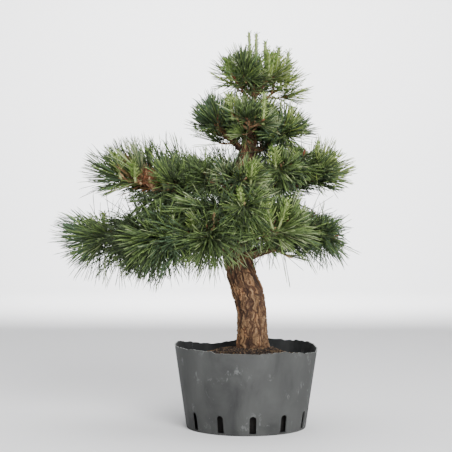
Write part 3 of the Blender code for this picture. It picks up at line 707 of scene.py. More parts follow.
def lattice_noise(u, v, columns, seed):
    """Smooth noise from -1 to 1: random heights on a grid that closes on itself, with eased blends."""
    x, y = u * columns, v - v.min()
    rows = int(y.max()) + 3
    heights = np.random.default_rng(seed).uniform(-1, 1, (rows, columns))
    i, j = np.floor(x).astype(int), np.floor(y).astype(int)
    s, t = smooth_step(0, 1, x - i), smooth_step(0, 1, y - j)
    low = heights[j, i % columns] * (1 - s) + heights[j, (i + 1) % columns] * s
    high = heights[j + 1, i % columns] * (1 - s) + heights[j + 1, (i + 1) % columns] * s
    return low * (1 - t) + high * t


def layered_noise(u, v, columns, seed, layers=4):
    """Lattice noise in layers, each twice as fine as the one before it and half as high, brought back
    to about -1 to 1."""
    total = sum(lattice_noise(u, v * 2**i, columns * 2**i, seed + i) / 2**i for i in range(layers))
    return total / LAYERED_HEIGHT


def cell_noise(u, v, columns, seed):
    """Distances to the nearest and the second nearest of jittered seeds, one in each cell of a grid
    that closes on itself, and a random number that belongs to the nearest seed."""
    x, y = u * columns, v - v.min() + 1
    rows = int(y.max()) + 3
    jitter = np.random.default_rng(seed).random((rows, columns, 3))
    best, second = np.full(x.shape, np.inf), np.full(x.shape, np.inf)
    pick = np.zeros(x.shape)
    for di in (-1, 0, 1):
        for dj in (-1, 0, 1):
            i, j = np.floor(x).astype(int) + di, np.floor(y).astype(int) + dj
            seeds = jitter[np.clip(j, 0, rows - 1), i % columns]
            away = np.hypot(i + seeds[..., 0] - x, j + seeds[..., 1] - y)
            second = np.minimum(second, np.maximum(away, best))
            pick = np.where(away < best, seeds[..., 2], pick)
            best = np.minimum(best, away)
    return best, second, pick


# Meshes


def grid_faces(rows, columns):
    """Quads of a surface whose rows go up a limb and whose columns close round it."""
    row, column = np.meshgrid(np.arange(rows - 1), np.arange(columns), indexing="ij")
    beside = (column + 1) % columns
    low, high = row * columns, (row + 1) * columns
    return np.stack((low + column, low + beside, high + beside, high + column), -1).reshape(-1, 4)


def fan(ring, pole, upwards):
    """Triangles from a ring of corners to a pole."""
    beside = np.roll(ring, -1)
    corners = (ring, beside) if upwards else (beside, ring)
    return np.stack((*corners, np.full(len(ring), pole)), -1)


def closed_faces(rows, columns):
    """Quads of a skin of rings, and triangles that close its ends. The two poles are the corners
    that come after the skin's."""
    last = rows * columns
    ring = np.arange(columns)
    caps = np.concatenate((fan(ring, last, False), fan(ring + last - columns, last + 1, True)))
    return grid_faces(rows, columns), caps


def closed_skin(rings, poles):
    """Corners and faces of stacked rings, (rows, columns, 3), closed by a pole at each end."""
    return np.concatenate((rings.reshape(-1, 3), poles)), closed_faces(*rings.shape[:2])


def tubes(paths, radii, sides):
    """Closed tubes: rings square to each of many equal-length paths, with a pole at each end. Paths
    is (tubes, rings, 3), and radii is (tubes, rings), or (tubes, rings, sides) for uneven rings."""
    count, rings = paths.shape[:2]
    square = rings_about(unit(np.gradient(paths, axis=1)), sides)
    skin = paths[:, :, None] + square * radii.reshape(count, rings, -1, 1)
    points = np.concatenate((skin.reshape(count, -1, 3), paths[:, :1], paths[:, -1:]), 1)
    shift = np.arange(count)[:, None, None] * points.shape[1]
    quads, caps = (faces + shift for faces in closed_faces(rings, sides))
    return points.reshape(-1, 3), (quads.reshape(-1, 4), caps.reshape(-1, 3))


def tube_shades(kinds, rings, sides):
    """A material for each face of tubes, from one for each tube."""
    return np.concatenate((np.repeat(kinds, (rings - 1) * sides), np.repeat(kinds, 2 * sides)))


def blades(roots, ways, bends, lengths, widths):
    """Needles: a ring of three corners at the root, one at the knee, and a tip. The part beyond the
    knee is turned by the bend."""
    corners = rings_about(ways, 3) * (widths * 0.5)[:, None, None]
    knee = roots + ways * (lengths * KNEE)[:, None]
    tip = knee + unit(ways + bends) * (lengths * (1 - KNEE))[:, None]
    rings = (roots[:, None] + corners * ROOT_WIDTH, knee[:, None] + corners, tip[:, None])
    points = np.concatenate(rings, 1)
    ring = np.arange(3)
    beside = (ring + 1) % 3
    faces = np.concatenate((
        [(2, 1, 0)],
        np.stack((ring, beside, beside + 3), -1),
        np.stack((ring, beside + 3, ring + 3), -1),
        fan(ring + 3, 6, True),
    ))
    faces = faces + np.arange(len(roots))[:, None, None] * BLADE_CORNERS
    return points.reshape(-1, 3), faces.reshape(-1, 3)


def new_piece(name, points, faces, materials, shades=None, layers=None, sharp_deg=None):
    """A mesh object at the origin from whole arrays: corners, and faces as a list of index arrays.
    Shades gives each face its material, and layers names float values for each corner."""
    mesh = bpy.data.meshes.new(name)
    sizes = np.concatenate([np.full(len(group), group.shape[1]) for group in faces])
    corners = np.concatenate([group.ravel() for group in faces]).astype(np.int32)
    starts = np.concatenate(([0], np.cumsum(sizes)[:-1])).astype(np.int32)
    mesh.vertices.add(len(points))
    mesh.vertices.foreach_set("co", np.ascontiguousarray(points, np.float32).ravel())
    mesh.loops.add(len(corners))
    mesh.loops.foreach_set("vertex_index", corners)
    mesh.polygons.add(len(sizes))
    mesh.polygons.foreach_set("loop_start", starts)
    if shades is not None:
        mesh.polygons.foreach_set("material_index", np.asarray(shades, np.int32))
    mesh.update(calc_edges=True)
    for layer, values in (layers or {}).items():
        attribute = mesh.attributes.new(layer, "FLOAT", "POINT")
        attribute.data.foreach_set("value", np.ascontiguousarray(values, np.float32))
    for one in materials:
        mesh.materials.append(one)
    mesh.shade_smooth()
    if sharp_deg is not None:
        mesh.set_sharp_from_angle(angle=math.radians(sharp_deg))
    piece = bpy.data.objects.new(name, mesh)
    bpy.context.scene.collection.objects.link(piece)
    return piece


def settle(piece, slot, *nodes):
    """The piece rides on the plant's one body, and stands for these nodes of the frame."""
    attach(piece, "root")
    if nodes:
        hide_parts(*nodes)


# Materials

# Sockets of a Mix node that mixes colours: its share and its two colours, and the mixed one
MIX_SHARE, MIX_FIRST, MIX_SECOND, MIXED = 0, 6, 7, 2
# Typical IORs of leaves, bark and soil, and of polypropylene
PLANT_IOR, PLASTIC_IOR = 1.45, 1.49


def linear(gamma_colour):
    """The linear RGBA of a colour given as sRGB shares or as a hex word."""
    if isinstance(gamma_colour, str):
        gamma_colour = hex_shares(gamma_colour)
    return (*(c / 12.92 if c <= 0.04045 else ((c + 0.055) / 1.055) ** 2.4 for c in gamma_colour), 1.0)


def add(tree, kind, settings=None, values=None, links=None, stops=()):
    """Adds a shader node with its settings, socket values, links into it and, on a ramp, its stops,
    each a place and an sRGB colour."""
    made = tree.nodes.new("ShaderNode" + kind)
    for name, value in (settings or {}).items():
        setattr(made, name, value)
    for name, value in (values or {}).items():
        made.inputs[name].default_value = value
    for name, socket in (links or {}).items():
        tree.links.new(socket, made.inputs[name])
    if stops:
        ramp = made.color_ramp.elements
        while len(ramp) < len(stops):
            ramp.new(0.5)
        for element, (place, shade) in zip(ramp, stops):
            element.position = place
            element.color = linear(shade)
    return made


def new_material(name, base, roughness, ior=1.5):
    """A material with a plain base colour. Returns it with its node tree and its shader."""
    made = bpy.data.materials.new(name)
    made.use_nodes = True
    shader = made.node_tree.nodes["Principled BSDF"]
    shader.inputs["Base Color"].default_value = linear(base)
    shader.inputs["Roughness"].default_value = roughness
    shader.inputs["IOR"].default_value = ior
    made.diffuse_color = linear(base)
    return made, made.node_tree, shader


def pine_bark(name, settings, grain_mm):
    """Rough plated bark of an old black pine: flaky plates, with fissures between them darkened as
    painted shade. The highest plates are paler, partly with worn grey and partly as a painted highlight,
    and redder where a flake has come off. It scatters light and never shines."""
    made, tree, shader = new_material(name, settings.plate, 0.92, PLANT_IOR)
    relief = add(tree, "Attribute", {"attribute_name": "relief"})
    tone = add(tree, "Attribute", {"attribute_name": "tone"})
    place = add(tree, "TexCoord")
    grain = add(
        tree, "TexNoise",
        values={"Scale": 1000 / grain_mm, "Detail": 5.0, "Roughness": 0.65},
        links={"Vector": place.outputs["Object"]},
    )
    # The grain raises and lowers the relief by up to a quarter of its height
    height = add(
        tree, "Math", {"operation": "MULTIPLY_ADD"}, {1: 0.50, 2: -0.25}, {0: grain.outputs["Fac"]}
    )
    level = add(
        tree, "Math", {"operation": "ADD"}, links={0: relief.outputs["Fac"], 1: height.outputs[0]}
    )
    # The relief's height picks the colour: its dark in the fissures is painted shade, and its pale on the
    # highest plates is worn grey with a painted highlight
    plates = add(
        tree, "ValToRGB", links={"Fac": level.outputs[0]},
        stops=((0.02, settings.fissure), (0.24, "#412f23"), (0.50, settings.plate), (0.85, settings.ridge_wear_and_highlight)),
    )
    tones = add(
        tree, "ValToRGB", links={"Fac": tone.outputs["Fac"]},
        stops=((0.0, "#a38c76"), (0.35, "#fdf0e2"), (0.7, "#bdb09f"), (1.0, "#ffe3cc")),
    )
    flaked = add(
        tree, "Mix", {"data_type": "RGBA", "blend_type": "MULTIPLY"}, {MIX_SHARE: 1.0},
        {MIX_FIRST: plates.outputs["Color"], MIX_SECOND: tones.outputs["Color"]},
    )
    tree.links.new(flaked.outputs[MIXED], shader.inputs["Base Color"])
    bump = add(
        tree, "Bump", values={"Strength": 0.55, "Distance": 0.0006}, links={"Height": grain.outputs["Fac"]}
    )
    tree.links.new(bump.outputs["Normal"], shader.inputs["Normal"])
    return made


def weathered_plastic(name, base, settings):
    """Moulded polypropylene that stood outdoors for years: matt, with a dusty bloom, damp stains,
    scuffs and dried splashes, all soft-edged."""
    made, tree, shader = new_material(name, base, 0.58, PLASTIC_IOR)
    shader.inputs["Specular IOR Level"].default_value = 0.25
    place = add(tree, "TexCoord")
    # Stains run down the wall, so their pattern is drawn out to about 60 by 110 mm
    drawn = add(
        tree, "Mapping", values={"Scale": (1.0, 1.0, 0.55)}, links={"Vector": place.outputs["Object"]}
    )
    stain = add(
        tree, "TexNoise",
        values={"Scale": 1000 / 62, "Detail": 4.0, "Roughness": 0.55, "Distortion": 0.6},
        links={"Vector": drawn.outputs["Vector"]},
    )
    bloom = [min(1.0, share * 1.16) for share in base]
    stained = add(
        tree, "ValToRGB", links={"Fac": stain.outputs["Fac"]},
        stops=((0.30, settings.stains), (0.48, base), (0.72, bloom)),
    )
    # Scuffs are a few millimetres wide and lie in loose groups
    scuff = add(
        tree, "TexNoise",
        values={"Scale": 1000 / 9, "Detail": 3.0, "Roughness": 0.7, "Distortion": 1.2},
        links={"Vector": drawn.outputs["Vector"]},
    )
    groups = add(
        tree, "TexNoise", values={"Scale": 1000 / 34, "Detail": 2.0},
        links={"Vector": place.outputs["Object"]},
    )
    both = add(
        tree, "Math", {"operation": "MULTIPLY"}, links={0: scuff.outputs["Fac"], 1: groups.outputs["Fac"]}
    )
    scuffed = add(
        tree, "MapRange", values={"From Min": 0.35, "From Max": 0.45}, links={"Value": both.outputs[0]}
    )
    shown = add(
        tree, "Mix", {"data_type": "RGBA"}, {MIX_SECOND: linear(settings.scuffs)},
        {MIX_SHARE: scuffed.outputs[0], MIX_FIRST: stained.outputs["Color"]},
    )
    tree.links.new(shown.outputs[MIXED], shader.inputs["Base Color"])
    rough = add(
        tree, "MapRange", values={"To Min": 0.60, "To Max": 0.85}, links={"Value": stain.outputs["Fac"]}
    )
    tree.links.new(rough.outputs[0], shader.inputs["Roughness"])
    bump = add(
        tree, "Bump", values={"Strength": 0.25, "Distance": 0.0004}, links={"Height": scuff.outputs["Fac"]}
    )
    tree.links.new(bump.outputs["Normal"], shader.inputs["Normal"])
    return made


def mottled(name, shades, grain_mm, roughness, relief_mm, ior=PLANT_IOR):
    """A dull natural surface: its shades follow one noise from low to high, and so do its bumps."""
    made, tree, shader = new_material(name, shades[len(shades) // 2], roughness, ior)
    place = add(tree, "TexCoord")
    noise = add(
        tree, "TexNoise",
        values={"Scale": 1000 / grain_mm, "Detail": 5.0, "Roughness": 0.68},
        links={"Vector": place.outputs["Object"]},
    )
    places = np.linspace(0.36, 0.68, len(shades)).tolist()
    ramp = add(tree, "ValToRGB", links={"Fac": noise.outputs["Fac"]}, stops=tuple(zip(places, shades)))
    tree.links.new(ramp.outputs["Color"], shader.inputs["Base Color"])
    bump = add(
        tree, "Bump", values={"Strength": 0.7, "Distance": relief_mm / 1000},
        links={"Height": noise.outputs["Fac"]},
    )
    tree.links.new(bump.outputs["Normal"], shader.inputs["Normal"])
    return made


def needle_shades(settings):
    """Waxy pine needles, one plain colour for each kind of spray. The wax gives a soft gloss."""
    shades = (
        ("needles_dark_green", settings.dark, 0.65),
        ("needles_deep_green", settings.deep, 0.60),
        ("needles_bluish_green", settings.bluish, 0.62),
        ("needles_fresh_green", settings.fresh, 0.60),
        ("needles_sage", settings.sage, 0.65),
        ("needles_olive", settings.olive, 0.62),
        ("needles_dry", settings.dry, 0.75),
    )
    return [new_material(name, base, roughness, PLANT_IOR)[0] for name, base, roughness in shades]


# Limbs


def smooth_between(stations, count):
    """Rows evenly spread along stations by a cubic through them all, its slopes taken from neighbours."""
    rows = np.array(stations)
    heights = rows[:, 0]
    slopes = np.gradient(rows, heights, axis=0)
    wanted = np.linspace(heights[0], heights[-1], count)
    left = np.clip(np.searchsorted(heights, wanted) - 1, 0, len(rows) - 2)
    span = (heights[left + 1] - heights[left])[:, None]
    t = (wanted - heights[left])[:, None] / span
    held = (2 * t**3 - 3 * t**2 + 1) * rows[left] + (-2 * t**3 + 3 * t**2) * rows[left + 1]
    sloped = (t**3 - 2 * t**2 + t) * slopes[left] + (t**3 - t**2) * slopes[left + 1]
    return held + span * sloped


def leaves_at(bough, paths):
    """Where a bough leaves the middle line of what carries it, and the radius there."""
    points, radii = paths[bough.parent]
    marks = points[:, 2] if bough.parent == "trunk" else np.linspace(0, 1, len(points))
    return on_line(points, marks, bough.leaves_at), np.interp(bough.leaves_at, marks, radii)


def bough_path(bough, paths, count=BOUGH_POINTS):
    """Points and radii along a bough: a straight run that rises, with a half sine wave as its arch."""
    t = np.linspace(0, 1, count)[:, None]
    path = leaves_at(bough, paths)[0] + level_way(bough.heading) * bough.run * t
    path = path + UP * (bough.rise * t + bough.arch * np.sin(math.pi * t))
    return path, np.linspace(bough.root, bough.tip, count)


@lru_cache(maxsize=None)
def limbs():
    """Points and radii along the trunk and each bough, as the part's source has them."""
    rows = smooth_between(TRUNK, TRUNK_RINGS)
    paths = {"trunk": (rows[:, [1, 2, 0]], rows[:, 3])}
    for bough in BOUGHS:
        paths[bough.name] = bough_path(bough, paths)
    return paths


def gap_to_legs(points, low, high, thick, thin):
    """How far each point is outside the nearest leg: its distance from the leg's line, less the
    radius there, which goes from thick to thin. Worked out for some thousands of points at a time."""
    span = high - low
    square = (span**2).sum(1)
    gaps = []
    for some in np.array_split(points, len(points) // POINTS_AT_ONCE + 1):
        from_low = some[:, None] - low
        share = np.clip((from_low * span).sum(2) / square, 0, 1)
        apart = np.linalg.norm(from_low - share[..., None] * span, axis=2)
        gaps.append((apart - (thick + (thin - thick) * share)).min(1))
    return np.concatenate(gaps)


def limb_gap(points):
    """How far each point is outside the trunk and the boughs."""
    legs = [(path[:-1], path[1:], radii[:-1], radii[1:]) for path, radii in limbs().values()]
    return gap_to_legs(points, *(np.concatenate(part) for part in zip(*legs)))


# Growth


Twigs = namedtuple("Twigs", "base elbow tip radii mass")


def stacked(rows):
    """Twigs from a list of single ones."""
    return Twigs(*(np.array(column) for column in zip(*rows)))


def some_of(twigs, chosen):
    """The chosen ones of some twigs."""
    return Twigs(*(part[chosen] for part in twigs))


def bent(base, way, length, radii, curl, mass):
    """A twig, or many, as three points, with an elbow past which it turns up."""
    elbow = base + way * length * ELBOW
    tip = elbow + unit(way + UP * curl) * length * (1 - ELBOW)
    return base, elbow, tip, radii, mass


@lru_cache(maxsize=None)
def source_twigs():
    """The stem and side twigs of every mass by the source's rule: side twigs stand out of the stem
    by turns. A side twig that would run into a limb is left out."""
    rows = []
    for number, mass in enumerate(MASSES):
        path = limbs()["trunk" if mass.name == "top" else mass.name][0]
        foot = path[-1]
        way = UP if mass.name == "top" else unit(foot - path[-2])
        rng = np.random.default_rng(mass.seed)
        rows.append(bent(foot - way * STEM_SUNK, way, mass.stem + STEM_SUNK, STEM_RADII, mass.curl, number))
        line = np.array(bent(foot, way, mass.stem, STEM_RADII, mass.curl, number)[:3])
        for i in range(mass.twigs):
            share = FIRST_SIDE_AT + SIDES_SPAN * (i + 0.5) / mass.twigs
            root = on_line(line, (0, ELBOW, 1), share)
            turn = mass.spin * i + rng.uniform(-SIDE_TURN_SPREAD_DEG, SIDE_TURN_SPREAD_DEG)
            angle = SIDE_ANGLE_DEG + rng.uniform(-SIDE_ANGLE_SPREAD_DEG, SIDE_ANGLE_SPREAD_DEG)
            length = mass.side * (1 + SIDE_LENGTHENING - SIDE_SHORTENING * share)
            length *= rng.uniform(1 - SIDE_LENGTH_SPREAD, 1 + SIDE_LENGTH_SPREAD)
            curl = mass.curl + rng.uniform(-CURL_SPREAD, CURL_SPREAD)
            side = leaning(way, math.radians(angle), math.radians(turn))
            twig = bent(root, side, length, SIDE_RADII, curl, number)
            if limb_gap(np.array(twig[1:3])).min() > LIMB_ROOM:
                rows.append(twig)
    return stacked(rows)


def along(twigs, shares):
    """Places and directions on twigs: a quadratic curve that its elbow pulls. Shares is (twigs, n),
    or one row for them all."""
    t = np.asarray(shares)[..., None]
    base, elbow, tip = twigs.base[:, None], twigs.elbow[:, None], twigs.tip[:, None]
    places = (1 - t) ** 2 * base + 2 * t * (1 - t) * elbow + t**2 * tip
    return places, unit((1 - t) * (elbow - base) + t * (tip - elbow))


def finer_shoots(twigs, each):
    """Shoots that stand out of each twig by golden turns and curl up, shorter towards its tip."""
    rng = np.random.default_rng(71)
    count = len(twigs.base)
    shares = SHOOTS_FROM + SHOOTS_SPAN * (np.arange(each) + rng.random((count, each))) / each
    roots, ways = along(twigs, shares)
    turns = np.arange(each) * GOLDEN_ANGLE + rng.uniform(0, 2 * math.pi, (count, 1))
    spread = rng.uniform(-SHOOT_ANGLE_SPREAD_DEG, SHOOT_ANGLE_SPREAD_DEG, (count, each))
    ways = leaning(ways, np.radians(SHOOT_ANGLE_DEG + spread), turns)
    whole = np.linalg.norm(twigs.tip - twigs.base, axis=1)[:, None]
    lengths = whole * SHOOT_SHARE * rng.uniform(*SHOOT_LENGTHS, (count, each))
    lengths = (lengths * (FIRST_SHOOT - SHOOT_SHORTENING * shares))[..., None]
    curls = rng.uniform(*SHOOT_CURLS, (count, each))[..., None]
    radii = np.broadcast_to(SHOOT_RADII, (count, each, 3))
    rows = bent(roots, ways, lengths, radii, curls, np.repeat(twigs.mass, each))
    rows = [row.reshape(-1, 3) if row.ndim == 3 else row for row in rows]
    return some_of(rows, limb_gap(rows[2]) > LIMB_ROOM)


def spur_shoots():
    """Short spurs along the outer part of every bough and the trunk's top, by golden turns, which
    curl up."""
    rng = np.random.default_rng(83)
    rows = []
    runs = [("top", limbs()["trunk"][0], TRUNK_SPURS_FROM, TRUNK_SPURS)]
    for bough in BOUGHS:
        count = max(FEWEST_SPURS, round(bough.run / SPUR_SPACING))
        runs.append((bough.name, limbs()[bough.name][0], SPURS_FROM, count))
    for mass, path, start, count in runs:
        marks = np.linspace(0, 1, len(path))
        for i, share in enumerate(np.linspace(start, SPURS_TO, count)):
            turn = i * GOLDEN_ANGLE + rng.uniform(-SPUR_TURN_SPREAD, SPUR_TURN_SPREAD)
            way = leaning(unit(path[-1] - path[0]), math.radians(SPUR_ANGLE_DEG), turn)
            length = SPUR_LENGTH * rng.uniform(*SPUR_LENGTHS)
            root, curl = on_line(path, marks, share), rng.uniform(*SPUR_CURLS)
            twig = bent(root, way, length, SHOOT_RADII, curl, MASS_NUMBERS[mass])
            if limb_gap(twig[2][None])[0] > LIMB_ROOM:
                rows.append(twig)
    return stacked(rows)


@lru_cache(maxsize=None)
def growth(each):
    """Every twig: the source's own, their finer shoots and the limbs' spurs."""
    groups = (source_twigs(), finer_shoots(source_twigs(), each), spur_shoots())
    return Twigs(*(np.concatenate(parts) for parts in zip(*groups)))


@lru_cache(maxsize=None)
def candle_curves():
    """Candles as bent lines that lean from their twig's tip and then turn a little more upright. In
    place of radii they hold the lengths of their needles."""
    first = source_twigs()
    rows = []
    for candle in CANDLES:
        number, lean = MASS_NUMBERS[candle.mass], math.radians(candle.lean)
        side = level_way(candle.heading)
        way = UP * math.cos(lean) + side * math.sin(lean)
        tip = first.tip[first.mass == number][candle.twig]
        foot = tip - UP * CANDLE_SUNK + side * CANDLE_FEET_APART
        top = foot + (way * (1 - CANDLE_UPRIGHT) + UP * CANDLE_UPRIGHT) * candle.length
        rows.append((foot, foot + way * candle.length * 0.5, top, candle.needles, number))
    return stacked(rows)


def candle_gap(points):
    """How far each point is outside the room that old needles leave round each candle and outwards
    of it, which is narrow at the tree's top and on the photo's side turns towards the eye."""
    candles = candle_curves()
    rise = candles.tip - candles.base
    towards = np.where(candles.base[:, 1:2] < FRONT, (0.0, -TOWARDS_EYE, 0.0), 0.0)
    outwards = unit(unit(candles.base * (1, 1, 0)) + towards) * CANDLE_OPENING
    on_top = candles.mass == MASS_NUMBERS["top"]
    outwards = outwards * np.where(on_top, TOP_OPENING, 1.0)[:, None]
    starts = [candles.base + rise * share for share in OPEN_AT]
    low = np.concatenate((candles.base, *starts))
    high = np.concatenate((candles.tip, *(start + outwards for start in starts)))
    shares = [DRY_ROOM if candle.dry else GREEN_ROOM for candle in CANDLES]
    wide = (CANDLE_ROOM + candles.radii * shares) * np.where(on_top, TOP_ROOM, 1.0)
    wide = np.tile(wide, 1 + len(OPEN_AT))
    return gap_to_legs(points, low, high, wide * NARROW_END, wide)


def opening_gap(points):
    """How far each point is outside the openings, once it is moved along its line of sight from EYE
    into their plane."""
    eye = np.array(EYE)
    flat = eye + (points - eye) * (eye[1] / (eye[1] - points[:, 1:2]))
    ends = np.array(OPENINGS)
    low, high = (np.insert(ends[:, i, :2], 1, 0.0, axis=1) for i in (0, 1))
    return gap_to_legs(flat, low, high, ends[:, 0, 2], ends[:, 1, 2])


def fits_box(roots, tips):
    """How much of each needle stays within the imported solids' box and a little beyond it."""
    low, high = (np.array(corner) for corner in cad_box)
    low, high = low - BOX_ROOM, high + BOX_ROOM
    reach = tips - roots
    room = np.where(reach > 0, high - roots, low - roots)
    shares = room / np.where(np.abs(reach) < 1e-9, 1e-9, reach)
    return np.clip(shares.min(1), 0.0, 1.0)


def needles_on(twigs, each, length, width, seed):
    """Needles along the outer part of each twig, in pairs by golden turns. Near the foot they lean
    out widest, and at the tip least. One that would run into a limb is left out, and so are most
    where a candle needs room or the sky shows."""
    rng = np.random.default_rng(seed)
    count, pairs = len(twigs.base), each // 2
    shares = NEEDLES_FROM + (1 - NEEDLES_FROM) * np.sqrt((np.arange(pairs) + 0.5) / pairs)
    shares = np.clip(shares + rng.uniform(-NEEDLE_JITTER, NEEDLE_JITTER, (count, pairs)), 0, 1)
    places, ways = along(twigs, shares)
    grown = (shares - NEEDLES_FROM) / (1 - NEEDLES_FROM)
    names = [MASSES[number].name for number in twigs.mass]
    habits = np.array([HABITS.get(name, HABITS[tier_of(name)]) for name in names])
    outwards, rise, full_length, widest, aside = np.hsplit(habits, len(Habit._fields))
    leans = widest + (NARROWEST_LEAN_DEG - widest) * grown**LEAN_POWER
    leans = np.radians(leans + rng.normal(0, LEAN_SPREAD_DEG, (count, pairs)))
    turns = np.arange(pairs) * GOLDEN_ANGLE + rng.uniform(0, 2 * math.pi, (count, 1))
    turns = turns + rng.uniform(-TURN_SPREAD, TURN_SPREAD, (count, pairs))
    # The older a needle, the further it has sunk outwards and along its habit's drift
    drift = np.hstack((aside, np.zeros_like(aside), rise))
    away = (unit(twigs.tip * (1, 1, 0)) * outwards + drift)[:, None] * (SINKING - grown[..., None])
    heading = unit(leaning(ways, leans, turns) + away)
    heading = np.repeat(heading.reshape(-1, 3), 2, axis=0)
    heading = unit(heading + rng.normal(0, PAIR_SPREAD, heading.shape))
    roots = np.repeat(places.reshape(-1, 3), 2, axis=0)
    total = len(roots)
    owners = np.repeat(np.arange(count), pairs * 2)
    grown = np.repeat(grown.ravel(), 2)
    lengths = length * full_length.ravel()[owners]
    lengths = lengths * np.repeat(rng.uniform(*NEEDLE_LENGTHS, total // 2), 2)
    lengths = lengths * (OLDEST_LENGTH - NEEDLE_SHORTENING * grown)
    widths = width * rng.uniform(*NEEDLE_WIDTHS, total)
    bends = rng.normal(0, BEND, (total, 3)) - UP * BEND * 0.5
    lengths = lengths * fits_box(roots, roots + heading * lengths[:, None])
    probes = roots + heading * lengths[:, None] * np.array(FREE_SHARES)[:, None, None]
    free, room, sky = (
        gap(probes.reshape(-1, 3)).reshape(len(FREE_SHARES), -1).min(0)
        for gap in (limb_gap, candle_gap, opening_gap)
    )
    kept = (free > LIMB_ROOM) & (room >= 0) & (lengths > SHORTEST * length)
    kept &= (sky >= 0) | (rng.random(total) <= STRAY_SHARE)
    full = rng.uniform(*FULLNESS, count)[owners]
    kept &= rng.random(total) < full
    return [part[kept] for part in (roots, heading, bends, lengths, widths, owners, grown)]


def tier_of(mass_name):
    """The first word of a mass's name."""
    return mass_name.split("_")[0]


def deal_shades(twigs):
    """One shade for each spray: by chance from its tier's mix, or that of the tinted place where
    it ends."""
    rng = np.random.default_rng(9)
    tiers = np.array([tier_of(mass.name) for mass in MASSES])[twigs.mass]
    picks = np.zeros(len(tiers), int)
    for tier, mix in SHADE_MIXES.items():
        shades, weights = zip(*mix)
        picks[tiers == tier] = rng.choice(shades, (tiers == tier).sum(), p=weights)
    for middle, reach, shade in TINTED:
        picks[np.linalg.norm(twigs.tip - middle, axis=1) < reach] = shade
    return picks


def vary_shades(picks, grown, seed):
    """Some needles are a step darker or paler than their spray. The oldest, deep in the spray, are
    mostly darker: partly their own older green and partly painted shade.
    """
    rng = np.random.default_rng(seed)
    chance = rng.random(len(picks))
    # The oldest needles take the darker step more often: painted shade deep in the spray, with their older
    # green
    chance = np.where(grown < OLD_SHADED_NEEDLES, chance * 0.5, chance)
    picks = np.where(chance < DARKER_SHARE, np.array(DARKER)[picks], picks)
    return np.where(chance > 1 - PALER_SHARE, np.array(PALER)[picks], picks)


# Pieces


def bark_surface(u, length, plates, seed):
    """Height of the bark from 0 to 1, and a tone for each flake. Long fissures run where stretched
    noise crosses 0, cracks part the plates between them, and flakes of their own height lie on top."""
    v = length / PLATE_LENGTH
    u = u + WANDER_ROUND / plates * layered_noise(u, v * WAVES_ROUND, plates, seed)
    long_lines = np.abs(layered_noise(u % 1.0, v * FISSURE_STRETCH, plates, seed + 10, 3))
    fissure = 1 - smooth_step(*FISSURE_WIDTH, long_lines)
    v = v + WANDER_ALONG * layered_noise(u % 1.0, v * WAVES_ALONG, plates, seed + 20)
    near, far, _ = cell_noise(u % 1.0, v, plates, seed + 30)
    crack = 1 - smooth_step(0.0, CRACK_WIDTH, far - near)
    near, far, tone = cell_noise(u % 1.0, v * FLAKES, plates * FLAKES, seed + 40)
    flake = smooth_step(0.0, FLAKE_EDGE, far - near) * (LOWEST_FLAKE + (1 - LOWEST_FLAKE) * tone)
    streak = 1 - np.abs(layered_noise(u % 1.0, v * STREAKS[1], plates * STREAKS[0], seed + 50, 3))
    rough = layered_noise(u % 1.0, v * SPECKS[1], plates * SPECKS[0], seed + 60, 3)
    height = PLAIN_HEIGHT + FLAKE_HEIGHT * flake + STREAK_HEIGHT * streak**3 + ROUGH_HEIGHT * rough
    return np.clip(height * (1 - FISSURE_DEPTH * fissure) * (1 - CRACK_DEPTH * crack), 0, 1), tone


def bark_layers(relief, tone, count=1):
    """The bark's heights and tones at every corner of so many limbs. A limb's two poles come after
    its rings, and have middling ones."""
    return {
        name: np.pad(values.reshape(count, -1), ((0, 0), (0, 2)), constant_values=0.5).ravel()
        for name, values in (("relief", relief), ("tone", tone))
    }


class PINE_OT_trunk(bpy.types.Operator):
    """Grow the trunk with its bark"""

    bl_idname = "pine.trunk"
    bl_label = "Trunk"

    def execute(self, context):
        """Each ring lies level: radius = the part's radius + lobes of the root flare + bark."""
        settings = context.scene.pine_bark
        around, count = TRUNK_GRID
        rows = smooth_between(TRUNK, count)
        rows = np.concatenate((rows[:1], rows))
        rows[0, 0] -= TRUNK_SINK
        height, radius, middles = rows[:, 0:1], rows[:, 3:4], rows[:, [1, 2, 0]]
        turn = even_turns(around)
        u = np.broadcast_to(turn / (2 * math.pi), (len(rows), around))
        v = np.broadcast_to(height - height.min(), u.shape)
        bark, tone = bark_surface(u, v, TRUNK_PLATES, 3)
        gnarl = lattice_noise(u, v / GNARL_LENGTH, GNARLS, 8) * GNARL_SHARE
        lobes = 0.5 * FLARE_DEPTH * np.exp(-(height - TRUNK[0][0]) / FLARE_FADE)
        out = radius * (1 + gnarl + (bark - TRUNK_MEAN) * TRUNK_RELIEF * settings.relief)
        out = out + lobes * np.cos(FLARE_LOBES * turn + FLARE_TURN)
        points, faces = closed_skin(about_axis(out, turn) + middles[:, None], middles[[0, -1]])
        look = pine_bark("old_pine_bark", settings, grain_mm=2.4)
        piece = new_piece("trunk_bark", points, faces, [look], layers=bark_layers(bark, tone))
        settle(piece, "bark", "trunk")
        return {"FINISHED"}


